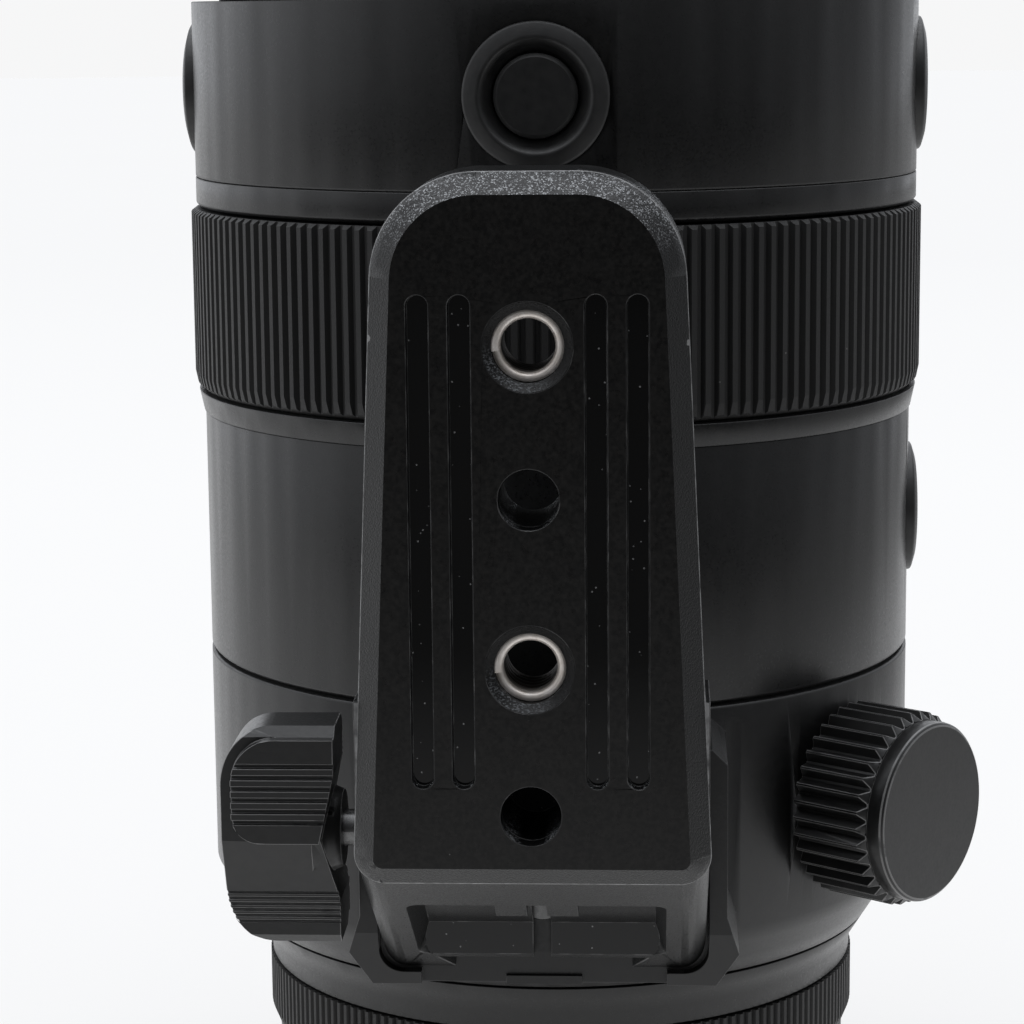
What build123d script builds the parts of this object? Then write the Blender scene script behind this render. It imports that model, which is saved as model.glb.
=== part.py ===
"""Camera zoom lens with a turning tripod collar and a foot that slides off it.

Millimetres. The origin is on the optical axis, in the plane of the mount flange.
+Z runs to the front of the lens, the tripod foot hangs along -Y.
An azimuth is counted from the foot (-Y) towards +X.
"""
from build123d import *
import math
import os

# Radii, each a step from the plain middle barrel
LOWER_BARREL_R = 42.4
COLLAR_PROUD = 0.02
TRIM_BASE_PROUD = 0.15
TRIM_TOP_PROUD = 0.7
FOCUS_RING_PROUD = 1.1
UPPER_BARREL_PROUD = 0.48
ZOOM_RING_PROUD = 0.6
GRIP_PROUD = 2.0
FRONT_BARREL_PROUD = 1.2
FILTER_RING_PROUD = 1.6
REAR_BARREL_INSET = 7.3
BAND_PROUD = 0.8
CONTROL_RING_PROUD = 1.04
COLLAR_R = LOWER_BARREL_R + COLLAR_PROUD
TRIM_BASE_R = LOWER_BARREL_R + TRIM_BASE_PROUD
TRIM_TOP_R = LOWER_BARREL_R + TRIM_TOP_PROUD
FOCUS_RING_R = LOWER_BARREL_R + FOCUS_RING_PROUD
UPPER_BARREL_R = LOWER_BARREL_R + UPPER_BARREL_PROUD
ZOOM_RING_R = LOWER_BARREL_R + ZOOM_RING_PROUD
GRIP_R = LOWER_BARREL_R + GRIP_PROUD
FRONT_BARREL_R = LOWER_BARREL_R + FRONT_BARREL_PROUD
FILTER_RING_R = LOWER_BARREL_R + FILTER_RING_PROUD
REAR_BARREL_R = LOWER_BARREL_R - REAR_BARREL_INSET
BAND_R = REAR_BARREL_R + BAND_PROUD
CONTROL_RING_R = REAR_BARREL_R + CONTROL_RING_PROUD

# Lengths along the optical axis, from the mount to the front rim
REAR_BARREL_LENGTH = 10.2
CONTROL_RING_LENGTH = 9.6
BAND_LENGTH = 2.1
REAR_CONE_LENGTH = 4.0
COLLAR_CONE_LENGTH = 6.5
COLLAR_LENGTH = 32.34
LOWER_BARREL_LENGTH = 28.96
TRIM_LENGTH = 2.9
FOCUS_RING_LENGTH = 21.4
SEAM_BAND_LENGTH = 3.35
UPPER_BARREL_LENGTH = 20.35
ZOOM_RING_LENGTH = 49.8
FRONT_BARREL_LENGTH = 27.0
FILTER_RING_LENGTH = 7.5
REAR_BARREL_TOP_Z = REAR_BARREL_LENGTH
CONTROL_RING_TOP_Z = REAR_BARREL_TOP_Z + CONTROL_RING_LENGTH
CONE_START_Z = CONTROL_RING_TOP_Z + BAND_LENGTH
COLLAR_START_Z = CONE_START_Z + REAR_CONE_LENGTH
CONE_END_Z = COLLAR_START_Z + COLLAR_CONE_LENGTH
COLLAR_TOP_Z = COLLAR_START_Z + COLLAR_LENGTH
LOWER_BARREL_TOP_Z = COLLAR_TOP_Z + LOWER_BARREL_LENGTH
FOCUS_RING_START_Z = LOWER_BARREL_TOP_Z + TRIM_LENGTH
FOCUS_RING_TOP_Z = FOCUS_RING_START_Z + FOCUS_RING_LENGTH
SEAM_BAND_TOP_Z = FOCUS_RING_TOP_Z + SEAM_BAND_LENGTH
UPPER_BARREL_TOP_Z = SEAM_BAND_TOP_Z + UPPER_BARREL_LENGTH
ZOOM_RING_TOP_Z = UPPER_BARREL_TOP_Z + ZOOM_RING_LENGTH
FRONT_BARREL_TOP_Z = ZOOM_RING_TOP_Z + FRONT_BARREL_LENGTH
FILTER_RING_TOP_Z = FRONT_BARREL_TOP_Z + FILTER_RING_LENGTH

# Clearances and shared small sizes
TURN_FIT = 0.1
SEAT_FIT = 0.05
PART_GAP = 0.3
OVERRUN = 1.0
EDGE = 0.4
FULL_TURN = 360
HALF_TURN = 180
QUARTER_TURN = 90
SECTOR_STEPS = 4

# Barrel walls
RING_WALL = 2.8
SLEEVE_WALL = 3.0
COLLAR_WALL = 4.1
REAR_WALL = 1.8
LIP_STEP = 2.1
LIP_DEPTH = 2.4
COLLAR_LAND_INSET = 0.2
COLLAR_LAND_LENGTH = 5.1
WEB_DEPTH = 3.2
WEB_THICK = 3.0
RING_SLEEVE_R = LOWER_BARREL_R - RING_WALL
SHELL_BORE_R = RING_SLEEVE_R - SLEEVE_WALL
COLLAR_SLEEVE_R = LOWER_BARREL_R - COLLAR_WALL
COLLAR_LAND_R = BAND_R - COLLAR_LAND_INSET
COLLAR_LAND_TOP_Z = COLLAR_START_Z + COLLAR_LAND_LENGTH
REAR_SLEEVE_R = REAR_BARREL_R - REAR_WALL
REAR_BORE_R = REAR_SLEEVE_R - REAR_WALL
LIP_R = REAR_BORE_R + LIP_STEP
WEB_Z = LOWER_BARREL_TOP_Z - WEB_DEPTH

# Front rim
FILTER_THREAD_DEPTH = 5.4
FILTER_RIM_WALL = 5.9
HOOD_GROOVE_OFFSET = 1.9
HOOD_GROOVE_WIDTH = 1.85
FILTER_THREAD_MINOR_R = FILTER_RING_R - FILTER_RIM_WALL
HOOD_GROOVE_START_Z = FRONT_BARREL_TOP_Z + HOOD_GROOVE_OFFSET
HOOD_GROOVE_TOP_Z = HOOD_GROOVE_START_Z + HOOD_GROOVE_WIDTH

# Camera mount
FLANGE_INSET = 4.1
FLANGE_THICK = 2.6
GASKET_WIDTH = 1.7
GASKET_PROUD = 0.7
GASKET_SEAT = 1.6
MOUNT_SCREW_INSET = 3.0
MOUNT_SCREW_COUNT = 4
MOUNT_SCREW_HEAD_R = 1.5
MOUNT_SCREW_HEAD_DEPTH = 1.0
MOUNT_SCREW_SHANK_R = 0.85
MOUNT_SCREW_LENGTH = 6.0
MOUNT_SEAT_THICK = 4.2
THROAT_TUBE_INSET = 7.6
THROAT_WALL = 1.9
THROAT_LENGTH = 4.6
LUG_REACH = 2.0
LUG_THICK = 1.5
LUG_COUNT = 3
LUG_ANGLE = 42.0
FLANGE_R = REAR_BARREL_R - FLANGE_INSET
GASKET_IN_R = FLANGE_R + PART_GAP
GASKET_R = GASKET_IN_R + GASKET_WIDTH
MOUNT_SCREW_CIRCLE_R = FLANGE_R - MOUNT_SCREW_INSET
THROAT_TUBE_R = FLANGE_R - THROAT_TUBE_INSET
THROAT_R = THROAT_TUBE_R - THROAT_WALL
LUG_R = THROAT_TUBE_R + LUG_REACH

# Contacts, light baffle and circuit board behind the rear glass
CONTACT_BLOCK_GAP = 0.2
CONTACT_BLOCK_WIDTH = 2.7
CONTACT_BLOCK_ANGLE = 76.0
CONTACT_BLOCK_LENGTH = 3.8
CONTACT_COUNT = 10
CONTACT_R = 0.55
CONTACT_PROUD = 0.35
BAFFLE_WALL = 3.6
BAFFLE_HEIGHT = 4.6
BOARD_GAP = 0.4
BOARD_WIDTH = 6.9
BOARD_LIFT = 2.2
BOARD_THICK = 1.2
CHIP_SIDE = 4.6
CHIP_THICK = 1.1
CHIP_COUNT = 7
CONTACT_BLOCK_R = THROAT_R - CONTACT_BLOCK_GAP
CONTACT_BLOCK_IN_R = CONTACT_BLOCK_R - CONTACT_BLOCK_WIDTH
BAFFLE_R = THROAT_R - PART_GAP
BAFFLE_IN_R = BAFFLE_R - BAFFLE_WALL
BAFFLE_TOP_Z = FLANGE_THICK + BAFFLE_HEIGHT
BOARD_R = REAR_BORE_R - BOARD_GAP
BOARD_IN_R = BOARD_R - BOARD_WIDTH
BOARD_Z = FLANGE_THICK + MOUNT_SEAT_THICK + BOARD_LIFT

# Fluted rings
FLUTE_COUNT = 168
FLUTE_DEPTH = 0.6
FLUTE_TIP_SHARE = 0.38
FLUTE_ROOT_SHARE = 0.24
FOCUS_BEVEL = 1.9
FOCUS_BEVEL_DROP = 0.9
FOCUS_ROUND_SHARE = 0.3
FLUTE_TOP_LAND = 0.45
CONTROL_BEVEL = 2.9
CONTROL_FLUTE_COUNT = 190
CONTROL_FLUTE_DEPTH = 0.4
GRIP_REAR_LAND = 5.8
GRIP_FRONT_LAND = 5.0
GRIP_SEAT_DEPTH = 0.8
GRIP_FLUTE_COUNT = 108
GRIP_FLUTE_DEPTH = 0.9
FOCUS_BEVEL_R = FOCUS_RING_R - FOCUS_BEVEL_DROP
CONTROL_RING_BORE_R = REAR_SLEEVE_R + TURN_FIT
CONTROL_BEVEL_Z = REAR_BARREL_TOP_Z + CONTROL_BEVEL
GRIP_START_Z = UPPER_BARREL_TOP_Z + GRIP_REAR_LAND
GRIP_TOP_Z = ZOOM_RING_TOP_Z - GRIP_FRONT_LAND
GRIP_SEAT_R = ZOOM_RING_R - GRIP_SEAT_DEPTH

# Zoom mechanism
ZOOM_TURN = 80.0
CAM_TUBE_GAP = 1.2
CAM_TUBE_WALL = 2.2
CAM_TUBE_OFFSET = 5.45
GUIDE_TUBE_WALL = 1.9
GUIDE_STEP_WALL = 1.5
GUIDE_FLANGE_GAP = 0.2
GUIDE_FLANGE_THICK = 3.0
GUIDE_TUBE_REACH = 3.0
PIN_R = 1.9
PIN_COUNT = 3
PIN_CLEARANCE = 0.3
SLOT_RUN_OUT = 1.5
VARIATOR_DEPTH = 12.0
VARIATOR_TRAVEL = -32.0
VARIATOR_PHASE = 30.0
GROUP_SPACING = 36.0
COMPENSATOR_TRAVEL = -12.0
COMPENSATOR_PHASE = 90.0
CELL_LENGTH = 11.0
CELL_WALL = 4.4
SHELF_THICK = 2.2
SHELF_REACH = 1.2
GROUP_CROWN = 1.6
KEY_AZIMUTH = 150.0
KEY_WIDTH = 7.0
KEY_HEIGHT = 5.0
KEY_OFFSET = 20.0
KEY_SINK = 1.1
KEY_COVER = 0.8
CAM_TUBE_R = SHELL_BORE_R - CAM_TUBE_GAP
CAM_TUBE_BORE_R = CAM_TUBE_R - CAM_TUBE_WALL
CAM_TUBE_START_Z = SEAM_BAND_TOP_Z + CAM_TUBE_OFFSET
GUIDE_TUBE_R = CAM_TUBE_BORE_R - TURN_FIT
GUIDE_TUBE_BORE_R = GUIDE_TUBE_R - GUIDE_TUBE_WALL
GUIDE_STEP_R = GUIDE_TUBE_R + GUIDE_STEP_WALL
GUIDE_FLANGE_R = SHELL_BORE_R - GUIDE_FLANGE_GAP
GUIDE_TUBE_TOP_Z = ZOOM_RING_TOP_Z + GUIDE_TUBE_REACH
VARIATOR_Z = GUIDE_TUBE_TOP_Z - VARIATOR_DEPTH
COMPENSATOR_Z = VARIATOR_Z - GROUP_SPACING
KEY_Z = COMPENSATOR_Z + KEY_OFFSET
KEY_IN_R = CAM_TUBE_R - KEY_SINK
KEY_R = GRIP_SEAT_R - KEY_COVER

# Optical groups that stay put
GLASS_EDGE = 4.0
FRONT_CROWN = 4.2
DOUBLET_CROWN = 1.4
REAR_CROWN = 1.0
FRONT_SHELL_WALL = 3.3
FRONT_CELL_DEPTH = 2.4
FRONT_CELL_WALL = 3.8
FRONT_DOUBLET_STEP = 1.2
FRONT_WEB_STEP = 4.7
RETAINER_THICK = 1.8
RETAINER_WIDTH = 1.0
REAR_CELL_LIFT = 4.8
REAR_GLASS_INSET = 4.3
REAR_DOUBLET_STEP = 2.3
FRONT_BORE_R = FRONT_BARREL_R - FRONT_SHELL_WALL
FRONT_CELL_R = FRONT_BORE_R - TURN_FIT
FRONT_CELL_Z = GUIDE_TUBE_TOP_Z + WEB_THICK
FRONT_CELL_TOP_Z = FRONT_BARREL_TOP_Z - FRONT_CELL_DEPTH
FRONT_GLASS_R = FRONT_CELL_R - FRONT_CELL_WALL
FRONT_DOUBLET_R = FRONT_GLASS_R - FRONT_DOUBLET_STEP
FRONT_WEB_BORE_R = FRONT_DOUBLET_R - FRONT_WEB_STEP
RETAINER_IN_R = FRONT_GLASS_R - RETAINER_WIDTH
REAR_CELL_R = REAR_BORE_R - TURN_FIT
REAR_CELL_Z = BAFFLE_TOP_Z + REAR_CELL_LIFT
REAR_CELL_TOP_Z = COLLAR_LAND_TOP_Z
REAR_GLASS_R = THROAT_R - REAR_GLASS_INSET
REAR_DOUBLET_R = REAR_GLASS_R + REAR_DOUBLET_STEP

# Focus group and its drive
FOCUS_DEPTH = 32.0
FOCUS_CELL_INSET = 3.8
FOCUS_CELL_LENGTH = 9.0
FOCUS_CELL_WALL = 8.6
ROD_R = 1.25
ROD_INSET = 3.2
ROD_COUNT = 2
MOTOR_R = 3.4
MOTOR_LENGTH = 14.0
MOTOR_CLEARANCE = 0.6
SPINDLE_R = 0.85
FOCUS_Z = WEB_Z - FOCUS_DEPTH
FOCUS_CELL_R = REAR_CELL_R - FOCUS_CELL_INSET
FOCUS_GLASS_R = FOCUS_CELL_R - FOCUS_CELL_WALL
ROD_CIRCLE_R = FOCUS_CELL_R - ROD_INSET
MOTOR_CIRCLE_R = FOCUS_CELL_R + MOTOR_R + MOTOR_CLEARANCE

# Aperture
IRIS_GAP = 0.2
IRIS_WIDTH = 13.0
IRIS_THICK = 2.4
BLADE_COUNT = 9
BLADE_THICK = 0.3
BLADE_IN_STEP = 0.6
BLADE_OUT_STEP = 3.6
BLADE_GAP_ANGLE = 2.5
BLADE_PIN_R = 0.8
WEB_LEDGE = 7.0
IRIS_R = GUIDE_TUBE_BORE_R - IRIS_GAP
IRIS_IN_R = IRIS_R - IRIS_WIDTH
BLADE_IN_R = IRIS_IN_R + BLADE_IN_STEP
BLADE_R = IRIS_R - BLADE_OUT_STEP
WEB_HOLE_R = IRIS_R - WEB_LEDGE

# Function buttons
BUTTON_COUNT = 4
BUTTON_TURN = -0.7
SIDE_BUTTON_LIFT = 15.96
SIDE_BUTTON_AZIMUTH = 90.0
BEZEL_R = 7.8
BEZEL_PROUD = 0.85
BEZEL_CHAMFER = 0.5
BEZEL_DEPTH = 2.4
BEZEL_RIM = 2.0
BEZEL_FLOOR = 0.8
BUTTON_GAP = 1.35
BUTTON_THICK = 1.5
BUTTON_RECESS = 0.2
STEM_R = 2.0
STEM_LENGTH = 2.6
BUTTON_Z = (SEAM_BAND_TOP_Z + UPPER_BARREL_TOP_Z) / 2
SIDE_BUTTON_Z = COLLAR_TOP_Z + SIDE_BUTTON_LIFT
BEZEL_BORE_R = BEZEL_R - BEZEL_RIM
BUTTON_R = BEZEL_BORE_R - BUTTON_GAP

# Switch panel on the photographer's left
PANEL_AZIMUTH = 122.0
PANEL_LIFT = 3.76
PANEL_HEIGHT = 22.4
PANEL_WIDTH = 25.0
PANEL_PROUD = 0.8
PANEL_THICK = 2.0
SWITCH_COUNT = 3
SWITCH_PITCH = 7.0
SWITCH_SLOT_LENGTH = 9.6
SWITCH_SLOT_WIDTH = 3.8
SWITCH_SLOT_CORNER_R = 0.95
SWITCH_TRAVEL = 4.0
SWITCH_KNOB_LENGTH = 4.8
SWITCH_KNOB_PROUD = 1.0
SWITCH_FOOT_MARGIN = 1.2
SWITCH_FOOT_THICK = 0.9
PANEL_Z = COLLAR_TOP_Z + PANEL_LIFT

# Tripod collar and the rail for the foot
NECK_WIDTH = 34.6
BOSS_RIM_WIDTH = 2.35
BOSS_RISE = 7.58
BOSS_RIM_HEIGHT = 2.4
BOSS_LIFT = 4.6
BOSS_TOP_DEPTH = 1.24
BOSS_ROOT_STEP = 1.6
BOSS_FLARE = 1.3
BOSS_FLARE_LENGTH = 4.2
BOSS_BEVEL_WIDTH = 2.45
BOSS_BEVEL_LENGTH = 3.8
BOSS_TOP_BEVEL = 1.7
BOSS_SLANT_LIP = 0.9
BOSS_SLANT_LENGTH = 6.2
POCKET_GAP = 0.35
POCKET_MOUTH_WIDTH = 26.4
STOP_WIDTH = 8.2
STOP_LENGTH = 0.9
STOP_RISE = 0.5
RAIL_OFFSET = 4.5
RAIL_REACH = 2.0
RAIL_THICK = 3.2
RAIL_WIDTH = 22.0
RAIL_FLARE = 4.0
RAIL_SCREW_COUNT = 2
RAIL_SCREW_R = 1.25
RAIL_SCREW_HEAD_R = 2.4
RAIL_SCREW_HEAD_DEPTH = 1.6
RAIL_SCREW_LENGTH = 7.0
BOSS_WIDTH = NECK_WIDTH + 2 * BOSS_RIM_WIDTH
BOSS_Z = COLLAR_START_Z + BOSS_LIFT
BOSS_TOP_Z = COLLAR_TOP_Z - BOSS_TOP_DEPTH
BOSS_FACE_H = COLLAR_R + BOSS_RISE
BOSS_RIM_H = BOSS_FACE_H + BOSS_RIM_HEIGHT
BOSS_ROOT_R = COLLAR_SLEEVE_R + BOSS_ROOT_STEP
RAIL_Z = BOSS_Z + RAIL_OFFSET
RAIL_TOP_Z = BOSS_TOP_Z + RAIL_REACH
RAIL_BASE_WIDTH = RAIL_WIDTH - RAIL_FLARE

# Lock knob of the collar
LOCK_AZIMUTH = 52.0
LOCK_DEPTH = 13.24
LOCK_SEAT_RISE = 0.48
LOCK_KNOB_R = 11.0
LOCK_TOOTH_DEPTH = 0.8
LOCK_TOOTH_SHARE = 0.16
LOCK_TOOTH_COUNT = 36
LOCK_TEETH_LENGTH = 9.2
LOCK_CAP_THICK = 2.1
LOCK_CAP_INSET = 0.85
LOCK_CAP_CHAMFER = 0.35
LOCK_SEAT_INSET = 3.0
LOCK_SCREW_R = 2.5
LOCK_SCREW_TIP_GAP = 0.5
LOCK_SCREW_HEAD_DEPTH = 3.0
LOCK_Z = COLLAR_TOP_Z - LOCK_DEPTH
LOCK_CAP_R = LOCK_KNOB_R - LOCK_CAP_INSET
LOCK_SEAT_R = LOCK_KNOB_R - LOCK_SEAT_INSET
LOCK_SEAT_H = COLLAR_R + LOCK_SEAT_RISE
LOCK_BASE_H = LOCK_SEAT_H + PART_GAP
LOCK_TEETH_TOP_H = LOCK_BASE_H + LOCK_TEETH_LENGTH
LOCK_FACE_H = LOCK_TEETH_TOP_H + LOCK_CAP_THICK
LOCK_SCREW_TIP_H = COLLAR_SLEEVE_R + LOCK_SCREW_TIP_GAP
LOCK_SCREW_HEAD_H = LOCK_TEETH_TOP_H - LOCK_SCREW_HEAD_DEPTH

# Tripod foot
FOOT_DROP = 29.0
FOOT_PLATE_THICK = 12.0
FOOT_LENGTH = 69.3
FOOT_REAR_OVERHANG = 0.6
FOOT_TAPER = 6.0
FOOT_FRONT_CORNER_R = 10.3
FOOT_REAR_CORNER_R = 3.0
FOOT_CHAMFER = 2.1
NECK_OFFSET = 1.9
NECK_SLOPE_LENGTH = 17.4
NECK_REACH = 5.0
NECK_CORNER_R = 2.6
NECK_FILLET_R = 6.0
WINDOW_MARGIN = 4.2
WINDOW_LOW_OFFSET = 4.5
WINDOW_HIGH_OFFSET = 8.7
WINDOW_DEPTH = 3.0
WINDOW_DRAFT = 20.0
WINDOW_CORNER_R = 1.5
WINDOW_TAB_WIDTH = 3.2
WINDOW_TAB_GAP = 2.0
WINDOW_TAB_REACH = 5.0
WINDOW_TAB_SINK = 0.3
WINDOW_PIN_R = 1.45
WINDOW_PIN_DEPTH = 1.6
WINDOW_PIN_X = -9.4
WINDOW_PIN_SHARE = 0.22
CLAMP_SLIT = 1.8
INSERT_SHARES = (0.7633, 0.3153)
PLAIN_HOLE_SHARES = (0.5534, 0.1063)
GROOVE_END_SHARES = (0.1457, 0.8348)
GROOVE_PLACE_SHARES = (0.2209, 0.3562)
INSERT_BORE_R = 2.6
INSERT_WALL = 0.9
INSERT_SEAT_WIDTH = 0.8
INSERT_SEAT_DEPTH = 0.8
INSERT_LENGTH = 9.4
PLAIN_HOLE_R = 2.94
GROOVE_WIDTH = 2.1
GROOVE_DEPTH = 1.2
FOOT_FACE_H = BOSS_FACE_H + FOOT_DROP
FOOT_REAR_WIDTH = NECK_WIDTH + FOOT_REAR_OVERHANG
FOOT_FRONT_WIDTH = FOOT_REAR_WIDTH - FOOT_TAPER
NECK_REAR_Z = BOSS_Z + NECK_OFFSET
NECK_FRONT_Z = BOSS_TOP_Z + NECK_REACH
NECK_LIP_H = FOOT_FACE_H - FOOT_CHAMFER
FOOT_REAR_Z = NECK_REAR_Z + NECK_SLOPE_LENGTH
FOOT_FRONT_Z = FOOT_REAR_Z + FOOT_LENGTH
WINDOW_WIDTH = NECK_WIDTH - 2 * WINDOW_MARGIN
WINDOW_LOW_H = BOSS_FACE_H + WINDOW_LOW_OFFSET
WINDOW_HIGH_H = FOOT_FACE_H - WINDOW_HIGH_OFFSET
INSERT_R = INSERT_BORE_R + INSERT_WALL
INSERT_SEAT_R = INSERT_R + INSERT_SEAT_WIDTH
INSERT_1_Z, INSERT_2_Z = (FOOT_REAR_Z + share * FOOT_LENGTH for share in INSERT_SHARES)
PLAIN_HOLE_1_Z, PLAIN_HOLE_2_Z = (FOOT_REAR_Z + share * FOOT_LENGTH for share in PLAIN_HOLE_SHARES)
GROOVE_START_Z, GROOVE_END_Z = (FOOT_REAR_Z + share * FOOT_LENGTH for share in GROOVE_END_SHARES)
GROOVE_INNER_X, GROOVE_OUTER_X = (share * FOOT_FRONT_WIDTH for share in GROOVE_PLACE_SHARES)

# Wing knob that clamps the foot on its rail
WING_RISE = 9.3
WING_DEPTH = 6.6
WING_SIDE_GAP = 0.95
WING_LENGTH = 11.8
WING_HALF_HEIGHT = 11.9
WING_PAD_OFFSET = 6.6
WING_PAD_PROUD = 1.3
WING_PAD_INSET = 1.2
WING_PAD_OUTER_R = 4.6
WING_PAD_INNER_R = 3.0
WING_BEVEL = 1.0
WING_SLOPE_LENGTH = 6.4
WING_BACK_OFFSET = 2.4
WING_NOTCH = 1.6
WING_HUB_R = 4.0
WING_HUB_ROOT_R = 5.2
WING_HUB_PROUD = 0.35
WING_ROUND_X = 5.2
WING_ROUND_Z = 6.2
WING_RIDGE_COUNT = 6
WING_RIDGE_DEPTH = 0.5
WING_RIDGE_PITCH = 1.18
WING_RIDGE_WIDTH = 0.48
WING_RIDGE_MIDDLE = 5.2
WING_FINE_DEPTH = 0.28
WING_FINE_PITCH = 0.62
WING_FINE_WIDTH = 0.3
WING_FINE_MIDDLE = 7.9
WING_SCREW_R = 1.9
WING_SCREW_SINK = 4.2
WING_SCREW_INSET = 3.35
WING_H = BOSS_FACE_H + WING_RISE
WING_Z = BOSS_TOP_Z - WING_DEPTH
WING_INNER_X = -BOSS_WIDTH / 2 - WING_SIDE_GAP
WING_OUTER_X = WING_INNER_X - WING_LENGTH
WING_HUB_X = WING_INNER_X + WING_HUB_PROUD
WING_PAD_TOP = WING_HALF_HEIGHT - WING_BEVEL
WING_CORE_OFFSET = WING_PAD_OFFSET - WING_PAD_PROUD
WING_SCREW_HEAD_X = WING_INNER_X - WING_SCREW_SINK
WING_SCREW_END_X = NECK_WIDTH / 2 - WING_SCREW_INSET


def revolved(*points):
    """A solid of revolution about the optical axis, from (radius, height) points."""
    outline = Polyline(*[(r, 0, z) for r, z in points], close=True)
    return revolve(make_face(outline), Axis.Z, FULL_TURN)


def ring(r_out, r_in, z_low, z_high):
    """A plain ring with four faces."""
    return revolved((r_in, z_low), (r_out, z_low), (r_out, z_high), (r_in, z_high))


def radial_plane(azimuth, distance, z):
    """The plane whose normal leaves the optical axis at this azimuth, its Y axis along the lens."""
    a = math.radians(azimuth)
    outward = (math.sin(a), -math.cos(a), 0)
    sideways = (math.cos(a), math.sin(a), 0)
    origin = (distance * outward[0], distance * outward[1], z)
    return Plane(origin=origin, x_dir=sideways, z_dir=outward)


def peg(azimuth, z, radius, h_low, h_high):
    """A round peg along a radius of the lens, between two distances from the axis."""
    plane = radial_plane(azimuth, h_low, z)
    return extrude(plane * Circle(radius), amount=h_high - h_low)


def block(azimuth, z_mid, width, height, h_low, h_high):
    """A block along a radius of the lens, between two distances from the axis."""
    plane = radial_plane(azimuth, h_low, z_mid)
    return extrude(plane * Rectangle(width, height), amount=h_high - h_low)


def turned(solid, count, start=0.0):
    """Copies of a solid, evenly turned about the optical axis."""
    return [Rot(0, 0, start + index * FULL_TURN / count) * solid for index in range(count)]


def sector(angle, reach, z_low, z_high):
    """A wedge about the optical axis, centred on the +Y side, to cut arcs with."""
    steps = SECTOR_STEPS
    rim = []
    for index in range(steps + 1):
        a = math.radians(QUARTER_TURN - angle / 2 + angle * index / steps)
        rim.append((reach * math.cos(a), reach * math.sin(a), z_low))
    face = make_face(Polyline((0, 0, z_low), *rim, close=True))
    return extrude(face, amount=z_high - z_low, dir=(0, 0, 1))


def fluted_outline(r_tip, depth, count, tip_share=FLUTE_TIP_SHARE, root_share=FLUTE_ROOT_SHARE):
    """Flat face with evenly spaced teeth, flat tips and flat roots."""
    pitch = 2 * math.pi / count
    flank = (1 - tip_share - root_share) / 2
    r_root = r_tip - depth
    points = []
    for index in range(count):
        a = index * pitch
        for share, r in (
            (0, r_tip),
            (tip_share, r_tip),
            (tip_share + flank, r_root),
            (1 - flank, r_root),
        ):
            points.append((r * math.cos(a + share * pitch), r * math.sin(a + share * pitch)))
    return make_face(Polyline(*points, close=True))


def fluted_prism(r_tip, depth, count, z_low, z_high):
    """A prism with straight flutes all round, about the optical axis."""
    outline = fluted_outline(r_tip, depth, count)
    return extrude(Pos(0, 0, z_low) * outline, amount=z_high - z_low)


def lens_glass(radius, z_low, z_high, crown_low, crown_high):
    """A round glass element for this bore; a positive crown bulges outwards at that end."""
    radius -= SEAT_FIT
    low = (0, z_low - crown_low)
    high = (0, z_high + crown_high)
    edges = [Line((radius, 0, z_low), (radius, 0, z_high))]
    for z_edge, top, share in ((z_high, high, 1), (z_low, low, -1)):
        crown = crown_high if share > 0 else crown_low
        if crown == 0:
            edges.append(Line((radius, 0, z_edge), (0, 0, top[1])))
            continue
        half = radius / 2
        sphere_r = (radius * radius + crown * crown) / (2 * abs(crown))
        sag = sphere_r - math.sqrt(sphere_r * sphere_r - half * half)
        z_half = top[1] - share * math.copysign(sag, crown)
        edges.append(ThreePointArc((radius, 0, z_edge), (half, 0, z_half), (0, 0, top[1])))
    edges.append(Line((0, 0, low[1]), (0, 0, high[1])))
    return revolve(make_face(Wire(edges)), Axis.Z, FULL_TURN)


# Camera mount


def bayonet_mount():
    """Flange ring with its throat tube and the lugs that lock behind the camera's ring."""
    body = revolved(
        (THROAT_R, -THROAT_LENGTH),
        (THROAT_TUBE_R, -THROAT_LENGTH),
        (THROAT_TUBE_R, 0),
        (FLANGE_R, 0),
        (FLANGE_R, FLANGE_THICK),
        (THROAT_R, FLANGE_THICK),
    )
    lug_ring = ring(LUG_R, THROAT_R, -THROAT_LENGTH, -THROAT_LENGTH + LUG_THICK)
    lug = lug_ring & sector(LUG_ANGLE, FLANGE_R, -THROAT_LENGTH, -THROAT_LENGTH + LUG_THICK)
    for copy in turned(lug, LUG_COUNT):
        body += copy
    return body - mount_screw_list(SEAT_FIT)


def mount_screw(radius, head_radius):
    """One countersunk screw of the mount, its head flush with the flange face."""
    head = Pos(MOUNT_SCREW_CIRCLE_R, 0, MOUNT_SCREW_HEAD_DEPTH / 2) * Cylinder(
        head_radius, MOUNT_SCREW_HEAD_DEPTH
    )
    shank = Pos(MOUNT_SCREW_CIRCLE_R, 0, MOUNT_SCREW_LENGTH / 2) * Cylinder(radius, MOUNT_SCREW_LENGTH)
    return head + shank


def mount_screw_list(clearance):
    screw = mount_screw(MOUNT_SCREW_SHANK_R + clearance, MOUNT_SCREW_HEAD_R + clearance)
    return turned(screw, MOUNT_SCREW_COUNT, HALF_TURN / MOUNT_SCREW_COUNT)


def mount_screws():
    return Compound(children=[s.solid() for s in mount_screw_list(0)])


def mount_gasket():
    """Rubber lip round the flange that seals against the camera."""
    return revolved(
        (GASKET_IN_R, -GASKET_PROUD),
        ((GASKET_IN_R + GASKET_R) / 2, -GASKET_PROUD),
        (GASKET_R, GASKET_SEAT),
        (GASKET_IN_R, GASKET_SEAT),
    )


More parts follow.
